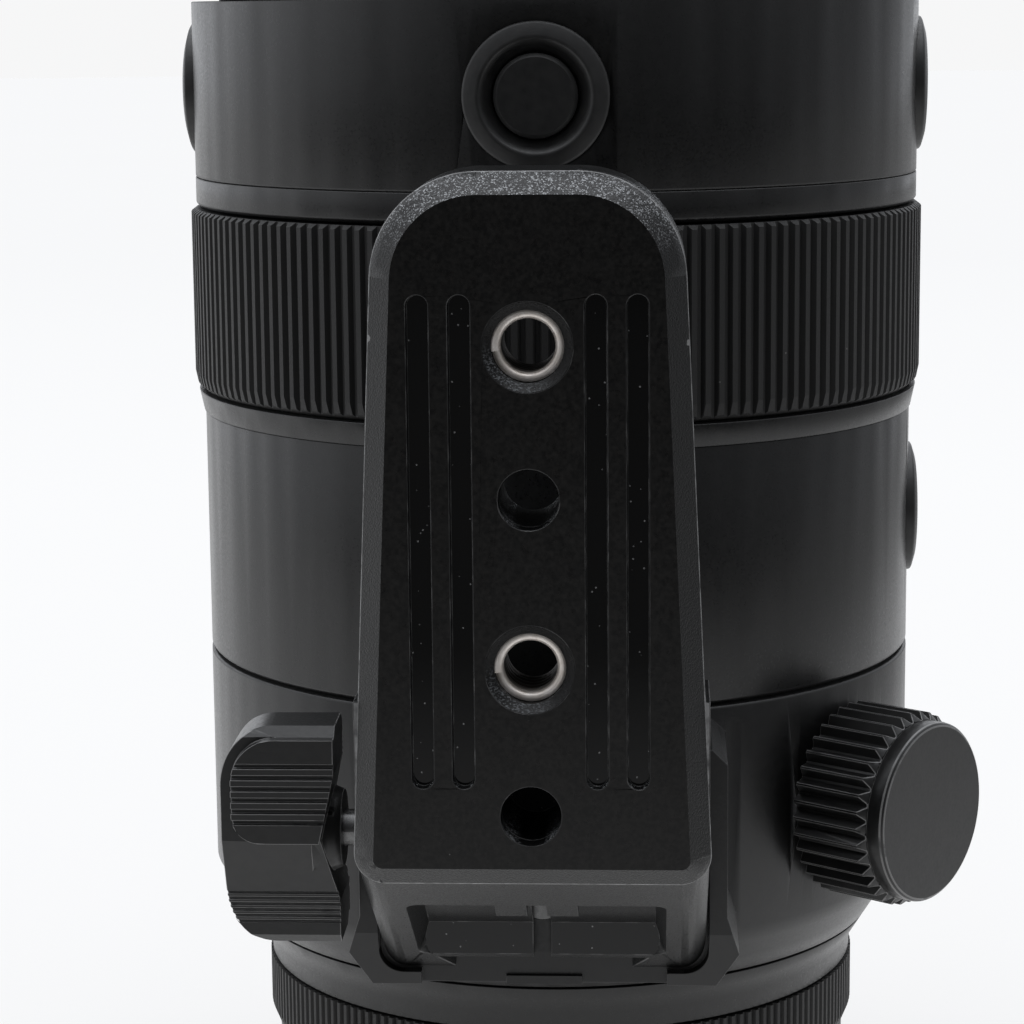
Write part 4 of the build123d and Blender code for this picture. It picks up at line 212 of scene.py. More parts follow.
class Shading:
    """Nodes of a material or of the world, under construction."""

    def __init__(self, tree, place, direction):
        self.nodes = tree.nodes
        self.links = tree.links
        coordinates = self.nodes.new("ShaderNodeTexCoord")
        self.place = coordinates.outputs[place]
        self.direction = coordinates.outputs[direction]

    def join(self, source, target):
        """Sets an input to a value, or links it to an output."""
        if isinstance(source, bpy.types.NodeSocket):
            self.links.new(source, target)
        else:
            target.default_value = source

    def span(self, value, low, high, to_low=0.0, to_high=1.0):
        """Maps a range of a value to another range, clamped."""
        node = self.nodes.new("ShaderNodeMapRange")
        self.links.new(value, node.inputs["Value"])
        sockets = ("From Min", "From Max", "To Min", "To Max")
        for socket, number in zip(sockets, (low, high, to_low, to_high)):
            node.inputs[socket].default_value = number
        return node.outputs["Result"]

    def math(self, operation, first, second):
        """A number worked out from two numbers."""
        node = self.nodes.new("ShaderNodeMath")
        node.operation = operation
        self.join(first, node.inputs[0])
        self.join(second, node.inputs[1])
        return node.outputs["Value"]

    def vector_math(self, operation, vector, other):
        """A number worked out from a vector and a fixed one."""
        node = self.nodes.new("ShaderNodeVectorMath")
        node.operation = operation
        self.links.new(vector, node.inputs[0])
        node.inputs[1].default_value = other
        return node.outputs["Value"]

    def facing(self, direction):
        """How much the surface, or the place in the sky, lies towards a direction."""
        return self.vector_math("DOT_PRODUCT", self.direction, direction)

    def distance(self, point):
        """How far the place is from a point, in metres."""
        return self.vector_math("DISTANCE", self.place, point)

    def axis_place(self, axis):
        """One coordinate of the place, in metres."""
        node = self.nodes.new("ShaderNodeSeparateXYZ")
        self.links.new(self.place, node.inputs["Vector"])
        return node.outputs[axis]

    def blend(self, share, first, second):
        """A number between two numbers."""
        node = self.nodes.new("ShaderNodeMix")
        self.join(share, node.inputs[MIX_FACTOR])
        for source, socket in zip((first, second), MIX_NUMBERS):
            self.join(source, node.inputs[socket])
        return node.outputs[MIX_NUMBER_RESULT]

    def mix(self, share, first, second):
        """A colour between two colours."""
        node = self.nodes.new("ShaderNodeMix")
        node.data_type = "RGBA"
        self.join(share, node.inputs[MIX_FACTOR])
        for source, socket in zip((first, second), MIX_COLOURS):
            self.join(source, node.inputs[socket])
        return node.outputs[MIX_COLOUR_RESULT]

    def scaled(self, colour, share):
        """A colour made brighter or darker."""
        node = self.nodes.new("ShaderNodeVectorMath")
        node.operation = "SCALE"
        self.links.new(colour, node.inputs[0])
        self.links.new(share, node.inputs["Scale"])
        return node.outputs["Vector"]

    def camera_ray(self):
        """One for what the camera sees itself, none for the light that things throw on each other."""
        return self.nodes.new("ShaderNodeLightPath").outputs["Is Camera Ray"]


class Look(Shading):
    """A surface material, with values for the shader's own sockets."""

    def __init__(self, name, **sockets):
        self.material = bpy.data.materials.new(name)
        self.material.use_nodes = True
        super().__init__(self.material.node_tree, "Object", "Normal")
        self.shader = self.nodes["Principled BSDF"]
        for socket, value in sockets.items():
            self.shader.inputs[socket.replace("_", " ")].default_value = value

    def stretched(self, sizes):
        """The place on the object with each axis scaled."""
        mapping = self.nodes.new("ShaderNodeMapping")
        mapping.inputs["Scale"].default_value = sizes
        self.links.new(self.place, mapping.inputs["Vector"])
        return mapping.outputs["Vector"]

    def noise(self, scale, detail=LOW_DETAIL, stretch=None):
        """Soft noise; scale is in waves per metre."""
        node = self.nodes.new("ShaderNodeTexNoise")
        node.inputs["Scale"].default_value = scale
        node.inputs["Detail"].default_value = detail
        self.links.new(self.stretched(stretch) if stretch else self.place, node.inputs["Vector"])
        return node.outputs["Fac"]

    def cells(self, scale):
        """Distance to the nearest cell centre and the cell's random number."""
        node = self.nodes.new("ShaderNodeTexVoronoi")
        node.inputs["Scale"].default_value = scale
        self.links.new(self.place, node.inputs["Vector"])
        parts = self.nodes.new("ShaderNodeSeparateColor")
        self.links.new(node.outputs["Color"], parts.inputs["Color"])
        return node.outputs["Distance"], parts.outputs["Red"]

    def dust(self, base, scale, size, share, level, warm=0.0):
        """Small specks of a size in cells, one in some of the cells."""
        distance, number = self.cells(scale)
        near = self.span(distance, size, size / 2)
        chosen = self.math("GREATER_THAN", number, 1 - share)
        return self.mix(self.math("MULTIPLY", near, chosen), base, grey(level, warm))

    def colour(self, source):
        """Paints the surface."""
        self.links.new(source, self.shader.inputs["Base Color"])

    def rough(self, source):
        """Sets how dull the surface is."""
        self.links.new(source, self.shader.inputs["Roughness"])

    def bump(self, height, distance, strength=1.0):
        """Relief from a height between 0 and 1; distance is in metres."""
        node = self.nodes.new("ShaderNodeBump")
        node.inputs["Distance"].default_value = distance
        node.inputs["Strength"].default_value = strength
        self.links.new(height, node.inputs["Height"])
        self.links.new(node.outputs["Normal"], self.shader.inputs["Normal"])


def grey(value, warm=0.0):
    """A grey colour, a little warmer or cooler."""
    return (value * (1 + warm), value, value * (1 - warm), 1.0)


# Satin black: clouds in waves per metre, dark and light as shares of the base colour
SATIN_SHEEN_ROUGHNESS = 0.3
SATIN_BROAD_CLOUDS = 60
SATIN_SMALL_CLOUDS = 900
SATIN_CLOUD_SPAN = (0.8, 1.2)
SATIN_DARK_SHARE = 0.7
SATIN_DARK_WARMTH = -0.02
SATIN_LIGHT_SHARE = 1.3
SATIN_LIGHT_WARMTH = 0.01
SATIN_DUST = {"scale": 260, "size": 0.05, "level": 0.32}
SATIN_ROUGHNESS_SPREAD = 0.06


def satin_black(name, base, roughness, grain, relief, dusty=0.0, sheen=0.0):
    """Satin black paint or plastic with a fine grain, faint clouds and a little dust."""
    look = Look(name, Sheen_Weight=sheen, Sheen_Roughness=SATIN_SHEEN_ROUGHNESS)
    clouds = look.math("ADD", look.noise(SATIN_BROAD_CLOUDS, DETAIL), look.noise(SATIN_SMALL_CLOUDS, DETAIL))
    dark = grey(base * SATIN_DARK_SHARE, SATIN_DARK_WARMTH)
    light = grey(base * SATIN_LIGHT_SHARE, SATIN_LIGHT_WARMTH)
    tone = look.mix(look.span(clouds, *SATIN_CLOUD_SPAN), dark, light)
    if dusty:
        tone = look.dust(tone, share=dusty, **SATIN_DUST)
    look.colour(tone)
    fine = look.noise(grain, FINE_DETAIL)
    spread = SATIN_ROUGHNESS_SPREAD
    look.rough(look.span(fine, *GRAIN_SPAN, roughness - spread, roughness + spread))
    look.bump(fine, relief)
    return look.material


# Foot paint: places along the Y axis, and dents in the edge, in metres; grains in waves per metre
FOOT_LEVEL = 0.40
FOOT_FACE_Y = -0.0789
FOOT_SUNK_Y = -0.0786
FOOT_FLAT_COSINES = (0.985, 0.995)
FOOT_COOLNESS = -0.03
FOOT_GRIT = 8500
FOOT_DARK = 0.001
FOOT_LIGHT = 0.008
FOOT_CLOUDS = 90
FOOT_CLOUD_TONE = 0.003
FOOT_GRAIN = 5200
FOOT_ROUGHNESS = (0.26, 0.46)
FOOT_RELIEF = 0.00007
FOOT_RELIEF_STRENGTH = 0.8
# Painted glint: grit cells painted lighter on slopes that face up towards the light
PAINTED_GLINT_LOW_COSINES = (0.20, 0.65)
PAINTED_GLINT_HIGH_COSINES = (0.92, 0.80)
PAINTED_GLINT_SPAN = (0.72, 0.95)
PAINTED_GLINT_TONE = 0.40
MILLED_MOTTLE = 2600
MILLED_DARK = 0.0006
MILLED_LIGHT = 0.0072
MILLED_WARMTH = 0.08
MILLED_DUST = {"scale": 520, "size": 0.05, "share": 0.16, "level": 0.16}
MILLED_GRAIN = 1500
MILLED_ROUGHNESS = (0.26, 0.36)
MILLED_RELIEF_SHARES = (0.49, 0.51)
SUNK_TONE = 0.003
SUNK_DUST = {"scale": 1000, "size": 0.11, "share": 0.8, "level": 0.30}
SUNK_ROUGHNESS = 0.07
# Worn outer edge of the foot: a lighter line all round as a painted highlight, with patches of wear
RUBBED_Y = -0.0769
RUBBED_REACH = 0.00010
RUBBED_CORE_SHARE = 0.6
RUBBED_WEAR = 700
RUBBED_SPAN = (0.30, 0.60)
RUBBED_SHARES = (0.25, 1.0)
RUBBED_HIGHLIGHT_TONE = 0.26
NICK_PLACES = ((-0.01505, -0.0768, 0.1034), (0.01500, -0.0768, 0.1029))
NICK_REACH = 0.0006
NICK_GRAIN = 3200
NICK_SPAN = (0.24, 0.34)
NICK_TONE = 0.22


def blasted_finish(look):
    """Blasted paint, with a painted glint: grit painted lighter where it slants up towards the light."""
    grit = look.cells(FOOT_GRIT)[1]
    tone = look.mix(grit, grey(FOOT_DARK, FOOT_COOLNESS), grey(FOOT_LIGHT, FOOT_COOLNESS))
    clouds = look.span(look.noise(FOOT_CLOUDS), *GRAIN_SPAN)
    tone = look.mix(clouds, tone, grey(FOOT_CLOUD_TONE, FOOT_COOLNESS))
    # Painted glint: lighter grit only where the surface slants up, standing in for light from above
    upward = look.facing((0, 0, 1))
    glint_slopes = look.math(
        "MULTIPLY", look.span(upward, *PAINTED_GLINT_LOW_COSINES), look.span(upward, *PAINTED_GLINT_HIGH_COSINES)
    )
    painted_glint = look.math("MULTIPLY", look.span(grit, *PAINTED_GLINT_SPAN), glint_slopes)
    return look.mix(painted_glint, tone, grey(PAINTED_GLINT_TONE, FOOT_COOLNESS))


def milled_finish(look):
    """Mottled black of the milled face, with fine dust."""
    mottle = look.span(look.noise(MILLED_MOTTLE, DETAIL), *STAIN_SPAN)
    tone = look.mix(mottle, grey(MILLED_DARK, MILLED_WARMTH), grey(MILLED_LIGHT, MILLED_WARMTH))
    return look.dust(tone, **MILLED_DUST)


def worn_and_lit_places(look, tone, depth):
    """The worn line round the foot's face, painted lighter all along as a highlight, and two ragged dents in
    it.
    """
    away = look.math("ABSOLUTE", look.math("SUBTRACT", depth, RUBBED_Y), 0.0)
    # Painted highlight: a lighter line all round the outer edge, stronger where the paint is worn
    rubbed_and_lit = look.span(away, RUBBED_REACH, RUBBED_REACH * RUBBED_CORE_SHARE)
    wear = look.span(look.noise(RUBBED_WEAR, DETAIL), *RUBBED_SPAN, *RUBBED_SHARES)
    tone = look.mix(look.math("MULTIPLY", rubbed_and_lit, wear), tone, grey(RUBBED_HIGHLIGHT_TONE))
    for place in NICK_PLACES:
        close = look.span(look.distance(place), NICK_REACH, NICK_REACH / 2)
        ragged = look.span(look.math("MULTIPLY", close, look.noise(NICK_GRAIN)), *NICK_SPAN)
        tone = look.mix(ragged, tone, grey(NICK_TONE))
    return tone


def foot_paint():
    """Blasted black finish with painted glints, a darker milled face, dust in its grooves, and worn outer
    edges with a painted highlight.
    """
    look = Look("foot_finish", Specular_IOR_Level=FOOT_LEVEL)
    depth = look.axis_place("Y")
    outwards = look.span(look.facing((0, -1, 0)), *FOOT_FLAT_COSINES)
    face = look.math("MULTIPLY", outwards, look.span(depth, FOOT_SUNK_Y, FOOT_FACE_Y))
    sunk = look.math("MULTIPLY", outwards, look.span(depth, FOOT_FACE_Y, FOOT_SUNK_Y))
    tone = look.mix(sunk, blasted_finish(look), look.dust(grey(SUNK_TONE), **SUNK_DUST))
    tone = look.mix(face, tone, milled_finish(look))
    look.colour(worn_and_lit_places(look, tone, depth))
    grain = look.noise(FOOT_GRAIN)
    fine = look.noise(MILLED_GRAIN, DETAIL)
    flat = look.math("MAXIMUM", face, sunk)
    level = look.blend(sunk, look.span(fine, *GRAIN_SPAN, *MILLED_ROUGHNESS), SUNK_ROUGHNESS)
    look.rough(look.blend(flat, look.span(grain, *GRAIN_SPAN, *FOOT_ROUGHNESS), level))
    relief = look.blend(flat, grain, look.span(fine, 0, 1, *MILLED_RELIEF_SHARES))
    look.bump(relief, FOOT_RELIEF, FOOT_RELIEF_STRENGTH)
    return look.material


# Sunk seats of the inserts: scratches, painted lighter as a highlight where they face this direction of the
# lens, up towards the light
SINK_LEVEL = 0.32
SINK_TONE = 0.003
SINK_ROUGHNESS = (0.26, 0.48)
SINK_RELIEF = 0.00006
SCRATCH_SCALE = 3600
SCRATCH_STRETCH = (1.0, 1.0, 1.6)
SCRATCH_SPAN = (0.50, 0.62)
SCRATCH_LIGHT_DIRECTION = (0.5, 0, 0.87)
SCRATCH_LIGHT_COSINES = (0.25, 0.65)
SCRATCH_HIGHLIGHT_TONE = 0.13
SCRATCH_HIGHLIGHT_COOLNESS = -0.05


def sink_paint():
    """Black recess round an insert with scratches, its lower side, which faces up, painted lighter as a
    highlight.
    """
    look = Look("sink_finish", Specular_IOR_Level=SINK_LEVEL)
    scratches = look.noise(SCRATCH_SCALE, DETAIL, SCRATCH_STRETCH)
    wear = look.span(scratches, *SCRATCH_SPAN)
    # Painted highlight: the scratches are painted light only where the seat faces up towards the light
    upward = look.span(look.facing(SCRATCH_LIGHT_DIRECTION), *SCRATCH_LIGHT_COSINES)
    scratches_and_highlight = look.math("MULTIPLY", wear, upward)
    look.colour(look.mix(scratches_and_highlight, grey(SINK_TONE), grey(SCRATCH_HIGHLIGHT_TONE, SCRATCH_HIGHLIGHT_COOLNESS)))
    look.rough(look.span(scratches, *GRAIN_SPAN, *SINK_ROUGHNESS))
    look.bump(scratches, SINK_RELIEF)
    return look.material


# Worn edges with a painted highlight: lighter than the body all along, and greyer here and there where the
# paint is worn
WEAR_SCALE = 420
WEAR_FADE = 0.12
WEAR_WARMTH = 0.01
WEAR_ROUGHNESS = (0.42, 0.30)
WEAR_GRAIN = 4000
WEAR_RELIEF = 0.00002


def worn_and_lit_edge(name, dark, bright, share):
    """Edge painted lighter than its body all along as a highlight, and lighter still here and there where
    the paint is worn thin.
    """
    look = Look(name)
    wear = look.span(look.noise(WEAR_SCALE, DETAIL), 1 - share, 1 - share + WEAR_FADE)
    look.colour(look.mix(wear, grey(dark), grey(bright, WEAR_WARMTH)))
    look.rough(look.span(wear, 0, 1, *WEAR_ROUGHNESS))
    look.bump(look.noise(WEAR_GRAIN), WEAR_RELIEF)
    return look.material


# Rubber
RUBBER_CLOUDS = 80
RUBBER_DARK_SHARE = 0.8
RUBBER_LIGHT_SHARE = 1.2
RUBBER_WARMTH = 0.02
RUBBER_DUST = {"scale": 420, "size": 0.05, "share": 0.08, "level": 0.16, "warm": 0.03}
RUBBER_GRAIN = 5000
RUBBER_ROUGHNESS = (0.50, 0.64)
RUBBER_RELIEF = 0.00002


def rubber(name, base):
    """Dull black rubber with fine dust on it."""
    look = Look(name)
    clouds = look.noise(RUBBER_CLOUDS, DETAIL)
    dark = grey(base * RUBBER_DARK_SHARE)
    light = grey(base * RUBBER_LIGHT_SHARE, RUBBER_WARMTH)
    look.colour(look.dust(look.mix(clouds, dark, light), **RUBBER_DUST))
    fine = look.noise(RUBBER_GRAIN, DETAIL)
    look.rough(look.span(fine, *GRAIN_SPAN, *RUBBER_ROUGHNESS))
    look.bump(fine, RUBBER_RELIEF)
    return look.material


# Bare metal: the lines are the grain's stretch along each axis
TOOL_SPAN = (0.25, 0.75)
METAL_GRAIN = 1800
METAL_RELIEF = 0.000004
METAL_STAIN = 180
METAL_STAIN_SHARE = 0.86
METAL_ROUGHNESS_SHARES = (0.7, 1.3)
MOUNT_LINES = (1, 1, 0.1)


def metal(name, base, roughness, warm=0.0, lines=None):
    """Bare metal with tool lines or a fine grain."""
    look = Look(name, Metallic=1.0)
    tool = look.noise(METAL_GRAIN, DETAIL, lines)
    stain = look.noise(METAL_STAIN, DETAIL)
    look.colour(look.mix(stain, grey(base * METAL_STAIN_SHARE, warm), grey(base, warm)))
    smooth, dull = (roughness * share for share in METAL_ROUGHNESS_SHARES)
    look.rough(look.span(tool, *TOOL_SPAN, smooth, dull))
    look.bump(tool, METAL_RELIEF)
    return look.material


# Wire of the inserts: tones as grey and warmth, and the heights between which painted shade darkens it
# deeper in the hole
INSERT_METALLIC = 0.6
INSERT_GRAIN = 2600
INSERT_LINES = (1, 0.2, 1)
INSERT_STAIN = 900
INSERT_DULL = (0.78, 0.09)
INSERT_BRIGHT = (0.94, 0.06)
INSERT_SHADE_TONE = (0.05, 0.12)
INSERT_SHADE_DEPTHS = (-0.0770, -0.0752)
INSERT_ROUGHNESS = (0.30, 0.46)
INSERT_RELIEF = 0.000012


def insert_metal():
    """Stainless wire with fine tool marks and dull stains, darkened by painted shade deeper in the hole."""
    look = Look("insert_finish", Metallic=INSERT_METALLIC)
    tool = look.noise(INSERT_GRAIN, DETAIL, INSERT_LINES)
    # Painted shade: the wire turns dark deeper in the hole, where the light does not reach
    deep = look.span(look.axis_place("Y"), *INSERT_SHADE_DEPTHS)
    stain = look.span(look.noise(INSERT_STAIN, DETAIL), *STAIN_SPAN)
    bright = look.mix(stain, grey(*INSERT_DULL), grey(*INSERT_BRIGHT))
    look.colour(look.mix(deep, bright, grey(*INSERT_SHADE_TONE)))
    look.rough(look.span(tool, *TOOL_SPAN, *INSERT_ROUGHNESS))
    look.bump(tool, INSERT_RELIEF)
    return look.material


# Glass: tint of the glass, and of its coat
GLASS_IOR = 1.5
GLASS_LEVEL = 0.06
GLASS_COAT = 0.10
GLASS_COAT_ROUGHNESS = 0.02
GLASS_SMEAR = 35
GLASS_SMEAR_TONE = 0.85
GLASS_ROUGHNESS = (0.0, 0.01)
FRONT_GLASS_TINTS = {"tint": (0.72, 0.80, 0.80, 1), "coat": (0.70, 0.62, 1.0, 1)}
INNER_GLASS_TINTS = {"tint": (0.95, 0.98, 0.96, 1), "coat": (0.9, 0.8, 1.0, 1)}


def coated_glass(name, tint, coat):
    """Lens glass with an antireflection coating's faint colour."""
    look = Look(
        name, Transmission_Weight=1.0, IOR=GLASS_IOR, Specular_IOR_Level=GLASS_LEVEL,
        Coat_Weight=GLASS_COAT, Coat_Roughness=GLASS_COAT_ROUGHNESS, Coat_Tint=coat,
    )
    smear = look.noise(GLASS_SMEAR, DETAIL)
    look.colour(look.mix(smear, tint, grey(GLASS_SMEAR_TONE)))
    look.rough(look.span(smear, *GRAIN_SPAN, *GLASS_ROUGHNESS))
    return look.material


# Circuit board
BOARD_COAT = 0.4
BOARD_WEAVE = 2500
BOARD_DARK = (0.010, 0.075, 0.032, 1)
BOARD_LIGHT = (0.018, 0.115, 0.050, 1)
BOARD_ROUGHNESS = (0.30, 0.42)
BOARD_RELIEF = 0.00001


def circuit(name):
    """Green solder mask with a woven grain."""
    look = Look(name, Coat_Weight=BOARD_COAT)
    weave = look.noise(BOARD_WEAVE, WEAVE_DETAIL)
    look.colour(look.mix(weave, BOARD_DARK, BOARD_LIGHT))
    look.rough(look.span(weave, *GRAIN_SPAN, *BOARD_ROUGHNESS))
    look.bump(weave, BOARD_RELIEF)
    return look.material


# White paint of the marks
MARK_GRAIN = 1500
MARK_DARK = 0.62
MARK_LIGHT = 0.78
MARK_ROUGHNESS = (0.45, 0.60)
MARK_RELIEF = 0.00001


def white_paint():
    """Filled white marks, slightly uneven."""
    look = Look("mark_finish")
    wear = look.noise(MARK_GRAIN)
    look.colour(look.mix(wear, grey(MARK_DARK), grey(MARK_LIGHT)))
    look.rough(look.span(wear, *GRAIN_SPAN, *MARK_ROUGHNESS))
    look.bump(wear, MARK_RELIEF)
    return look.material


# Values of the finishes: grain in waves per metre, relief in metres, dusty as a share of the cells
SHELL_VALUES = {"grain": 3600, "dusty": 0.02}
SATIN_VALUES = {
    "barrel": {"base": 0.0045, "roughness": 0.32, "relief": 0.000008, "sheen": 0.05, **SHELL_VALUES},
    "middle": {"base": 0.0045, "roughness": 0.32, "relief": 0.000008, "sheen": 0.12, **SHELL_VALUES},
    "collar": {"base": 0.0050, "roughness": 0.34, "relief": 0.000009, "sheen": 0.12, **SHELL_VALUES},
    "plastic": {"base": 0.017, "roughness": 0.42, "grain": 3000, "relief": 0.000010, "dusty": 0.02},
    "knob": {"base": 0.008, "roughness": 0.34, "grain": 2600, "relief": 0.000008},
    "button": {"base": 0.013, "roughness": 0.38, "grain": 2600, "relief": 0.000006},
    "rim": {"base": 0.010, "roughness": 0.50, "grain": 3400, "relief": 0.000014},
    "cell": {"base": 0.007, "roughness": 0.60, "grain": 2600, "relief": 0.000010},
    "baffle": {"base": 0.005, "roughness": 0.70, "grain": 2600, "relief": 0.000012},
}
RUBBER_VALUES = {"ring_rubber": {"base": 0.013}, "grip_rubber": {"base": 0.012}, "seal": {"base": 0.010}}
METAL_VALUES = {
    "mount": {"base": 0.78, "roughness": 0.24, "warm": 0.01, "lines": MOUNT_LINES},
    "steel": {"base": 0.56, "roughness": 0.26},
    "dark_steel": {"base": 0.16, "roughness": 0.30},
    "rail": {"base": 0.05, "roughness": 0.40},
    "cam": {"base": 0.12, "roughness": 0.42},
    "brass": {"base": 0.70, "roughness": 0.28, "warm": 0.30},
    "gold": {"base": 0.80, "roughness": 0.20, "warm": 0.36},
    "blade": {"base": 0.06, "roughness": 0.38},
}
GLASS_VALUES = {"front_glass": FRONT_GLASS_TINTS, "inner_glass": INNER_GLASS_TINTS}
# Edge finishes: both tones are lighter than the bodies, a painted highlight along the edges; the bright tone
# also marks worn spots
WORN_AND_LIT_EDGE_VALUES = {
    "edge_foot": {"dark": 0.014, "bright": 0.07, "share": 0.50},
    "edge_knob": {"dark": 0.050, "bright": 0.16, "share": 0.70},
    "edge_soft": {"dark": 0.014, "bright": 0.04, "share": 0.30},
}


def make_finishes():
    """Every material by its short name."""
    finishes = {"foot": foot_paint(), "sink": sink_paint(), "insert": insert_metal()}
    families = (
        (satin_black, SATIN_VALUES),
        (rubber, RUBBER_VALUES),
        (metal, METAL_VALUES),
        (coated_glass, GLASS_VALUES),
    )
    for make, family in families:
        for name, values in family.items():
            finishes[name] = make(f"{name}_finish", **values)
    for name, values in WORN_AND_LIT_EDGE_VALUES.items():
        finishes[name] = worn_and_lit_edge(name, **values)
    finishes["board"] = circuit("board_finish")
    finishes["mark"] = white_paint()
    return finishes


FINISHES = make_finishes()

# Nodes of the part that each finish covers
FINISH_NODES = {
    "barrel": (
        "rear_barrel", "trim_ring", "seam_ring", "upper_barrel", "front_barrel", "zoom_ring", "filter_ring",
    ),
    "middle": ("main_barrel",),
    "collar": ("tripod_collar",),
    "foot": ("tripod_foot",),
    "plastic": ("switch_panel", "button_bezels"),
    "knob": ("lock_knob", "lock_knob_cap", "wing_knob"),
    "button": (
        "side_button", "function_button_1", "function_button_2", "function_button_3", "function_button_4",
        "stabiliser_switch", "focus_limit_switch", "focus_mode_switch",
    ),
    "ring_rubber": ("focus_ring", "control_ring"),
    "grip_rubber": ("zoom_grip",),
    "seal": ("mount_gasket",),
    "cell": ("variator_cell", "compensator_cell", "focus_cell", "front_cell", "rear_cell", "retaining_ring"),
    "baffle": ("contact_block", "rear_baffle"),
    "mount": ("bayonet_mount",),
    "steel": ("focus_rods", "focus_motor"),
    "dark_steel": ("mount_screws", "rail_screws", "lock_screw", "wing_screw"),
    "insert": ("thread_inserts",),
    "rail": ("foot_rail", "zoom_key"),
    "cam": ("cam_tube", "guide_tube"),
    "brass": ("variator_pins", "compensator_pins"),
    "gold": ("contact_pins",),
    "blade": ("iris_plate", "iris_blades"),
    "front_glass": ("front_element",),
    "inner_glass": (
        "front_doublet", "variator_glass", "compensator_glass", "focus_glass", "rear_element",
        "rear_doublet",
    ),
    "board": ("main_board",),
}

# Nodes whose sharp edges are rounded, by the finish of the edges, worn paint with a painted highlight
EDGE_NODES = {
    "edge_foot": ("tripod_foot",),
    "edge_knob": ("lock_knob", "lock_knob_cap", "wing_knob"),
    "edge_soft": (
        "tripod_collar", "rear_barrel", "main_barrel", "trim_ring", "seam_ring", "upper_barrel",
        "front_barrel", "switch_panel", "zoom_ring",
    ),
}


def dress_nodes():
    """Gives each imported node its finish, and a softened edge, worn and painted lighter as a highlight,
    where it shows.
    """
    edge_of = {name: finish for finish, names in EDGE_NODES.items() for name in names}
    for finish, names in FINISH_NODES.items():
        for name in names:
            node = NODES[name]
            node.data.materials.clear()
            node.data.materials.append(FINISHES[finish])
            if name in edge_of:
                node.data.materials.append(FINISHES[edge_of[name]])
                soften(node)


def soften(node):
    """Welds the facets and rounds the sharp edges, which take the second material, worn paint with a painted
    highlight.
    """
    weld = node.modifiers.new("weld", "WELD")
    weld.merge_threshold = WELD_DISTANCE
    bevel = node.modifiers.new("edge", "BEVEL")
    bevel.width = FINE_EDGE_WIDTHS.get(node.name, EDGE_WIDTH)
    bevel.use_clamp_overlap = False
    bevel.segments = EDGE_SEGMENTS
    bevel.limit_method = "ANGLE"
    bevel.angle_limit = FINE_EDGE_ANGLE if node.name in FINE_EDGE_WIDTHS else EDGE_ANGLE
    bevel.material = 1
    bevel.harden_normals = True


def axes_matrix(axes, place):
    """Matrix with these three axes, at a place."""
    matrix = Matrix(axes).transposed().to_4x4()
    matrix.translation = place
    return matrix


def radial_frame(azimuth, distance, z):
    """Matrix whose Z axis leaves the lens at this azimuth and whose Y axis runs along the lens."""
    a = math.radians(azimuth)
    outward = Vector((math.sin(a), -math.cos(a), 0))
    sideways = Vector((math.cos(a), math.sin(a), 0))
    along = Vector((0, 0, 1))
    return axes_matrix((sideways, along, outward), outward * distance + along * z)


def add_piece(name, verts, faces, finish, body, matrix=None):
    """Makes a mesh piece that rides on a body, smooth except at its sharp edges."""
    mesh = bpy.data.meshes.new(name)
    mesh.from_pydata(verts, [], faces)
    mesh.validate()
    if matrix is not None:
        mesh.transform(matrix)
    shape = bmesh.new()
    shape.from_mesh(mesh)
    bmesh.ops.recalc_face_normals(shape, faces=shape.faces)
    shape.to_mesh(mesh)
    shape.free()
    mesh.polygons.foreach_set("use_smooth", [True] * len(mesh.polygons))
    mesh.set_sharp_from_angle(angle=SMOOTH_ANGLE)
    mesh.materials.append(FINISHES[finish])
    piece = bpy.data.objects.new(name, mesh)
    bpy.context.scene.collection.objects.link(piece)
    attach(piece, body)
    return piece


def coil(bore_r, outer_r, pitch, turns, start_angle):
    """A closed spring of pointed wire with a flat top, its first turn on top, wound down a hole."""
    half = pitch * WIRE_HEIGHT_SHARE
    upper = [(bore_r + (outer_r - bore_r) * across, half * up) for across, up in WIRE_SECTION_SHARES]
    section = upper + [(r, -w) for r, w in reversed(upper)]
    verts, faces = [], []
    steps = int(turns * ROUND_STEPS)
    sides = len(section)
    for step in range(steps + 1):
        angle = start_angle - step * math.tau / ROUND_STEPS
        drop = pitch * step / ROUND_STEPS
        for r, w in section:
            verts.append((r * math.cos(angle), r * math.sin(angle), w - drop - half))
    for step in range(steps):
        for side in range(sides):
            a = step * sides + side
            b = step * sides + (side + 1) % sides
            faces.append((a, b, b + sides, a + sides))
    faces.append(tuple(range(sides)))
    faces.append(tuple(range(steps * sides, (steps + 1) * sides)))
    return verts, faces


def lathe(profile, steps=ROUND_STEPS, depth=0.0, pitch=1.0):
    """A closed profile of (radius, height, thread share) turned round the Z axis."""
    verts, faces = [], []
    rows = len(profile)
    for step in range(steps):
        turn = step / steps
        angle = turn * math.tau
        for r, z, share in profile:
            wave = abs(2 * ((z / pitch - turn) % 1) - 1)
            radius = r + share * depth * wave
            verts.append((radius * math.cos(angle), radius * math.sin(angle), z))
    for step in range(steps):
        here = step * rows
        after = (step + 1) % steps * rows
        for row in range(rows):
            beside = (row + 1) % rows
            faces.append((here + row, after + row, after + beside, here + beside))
    return verts, faces


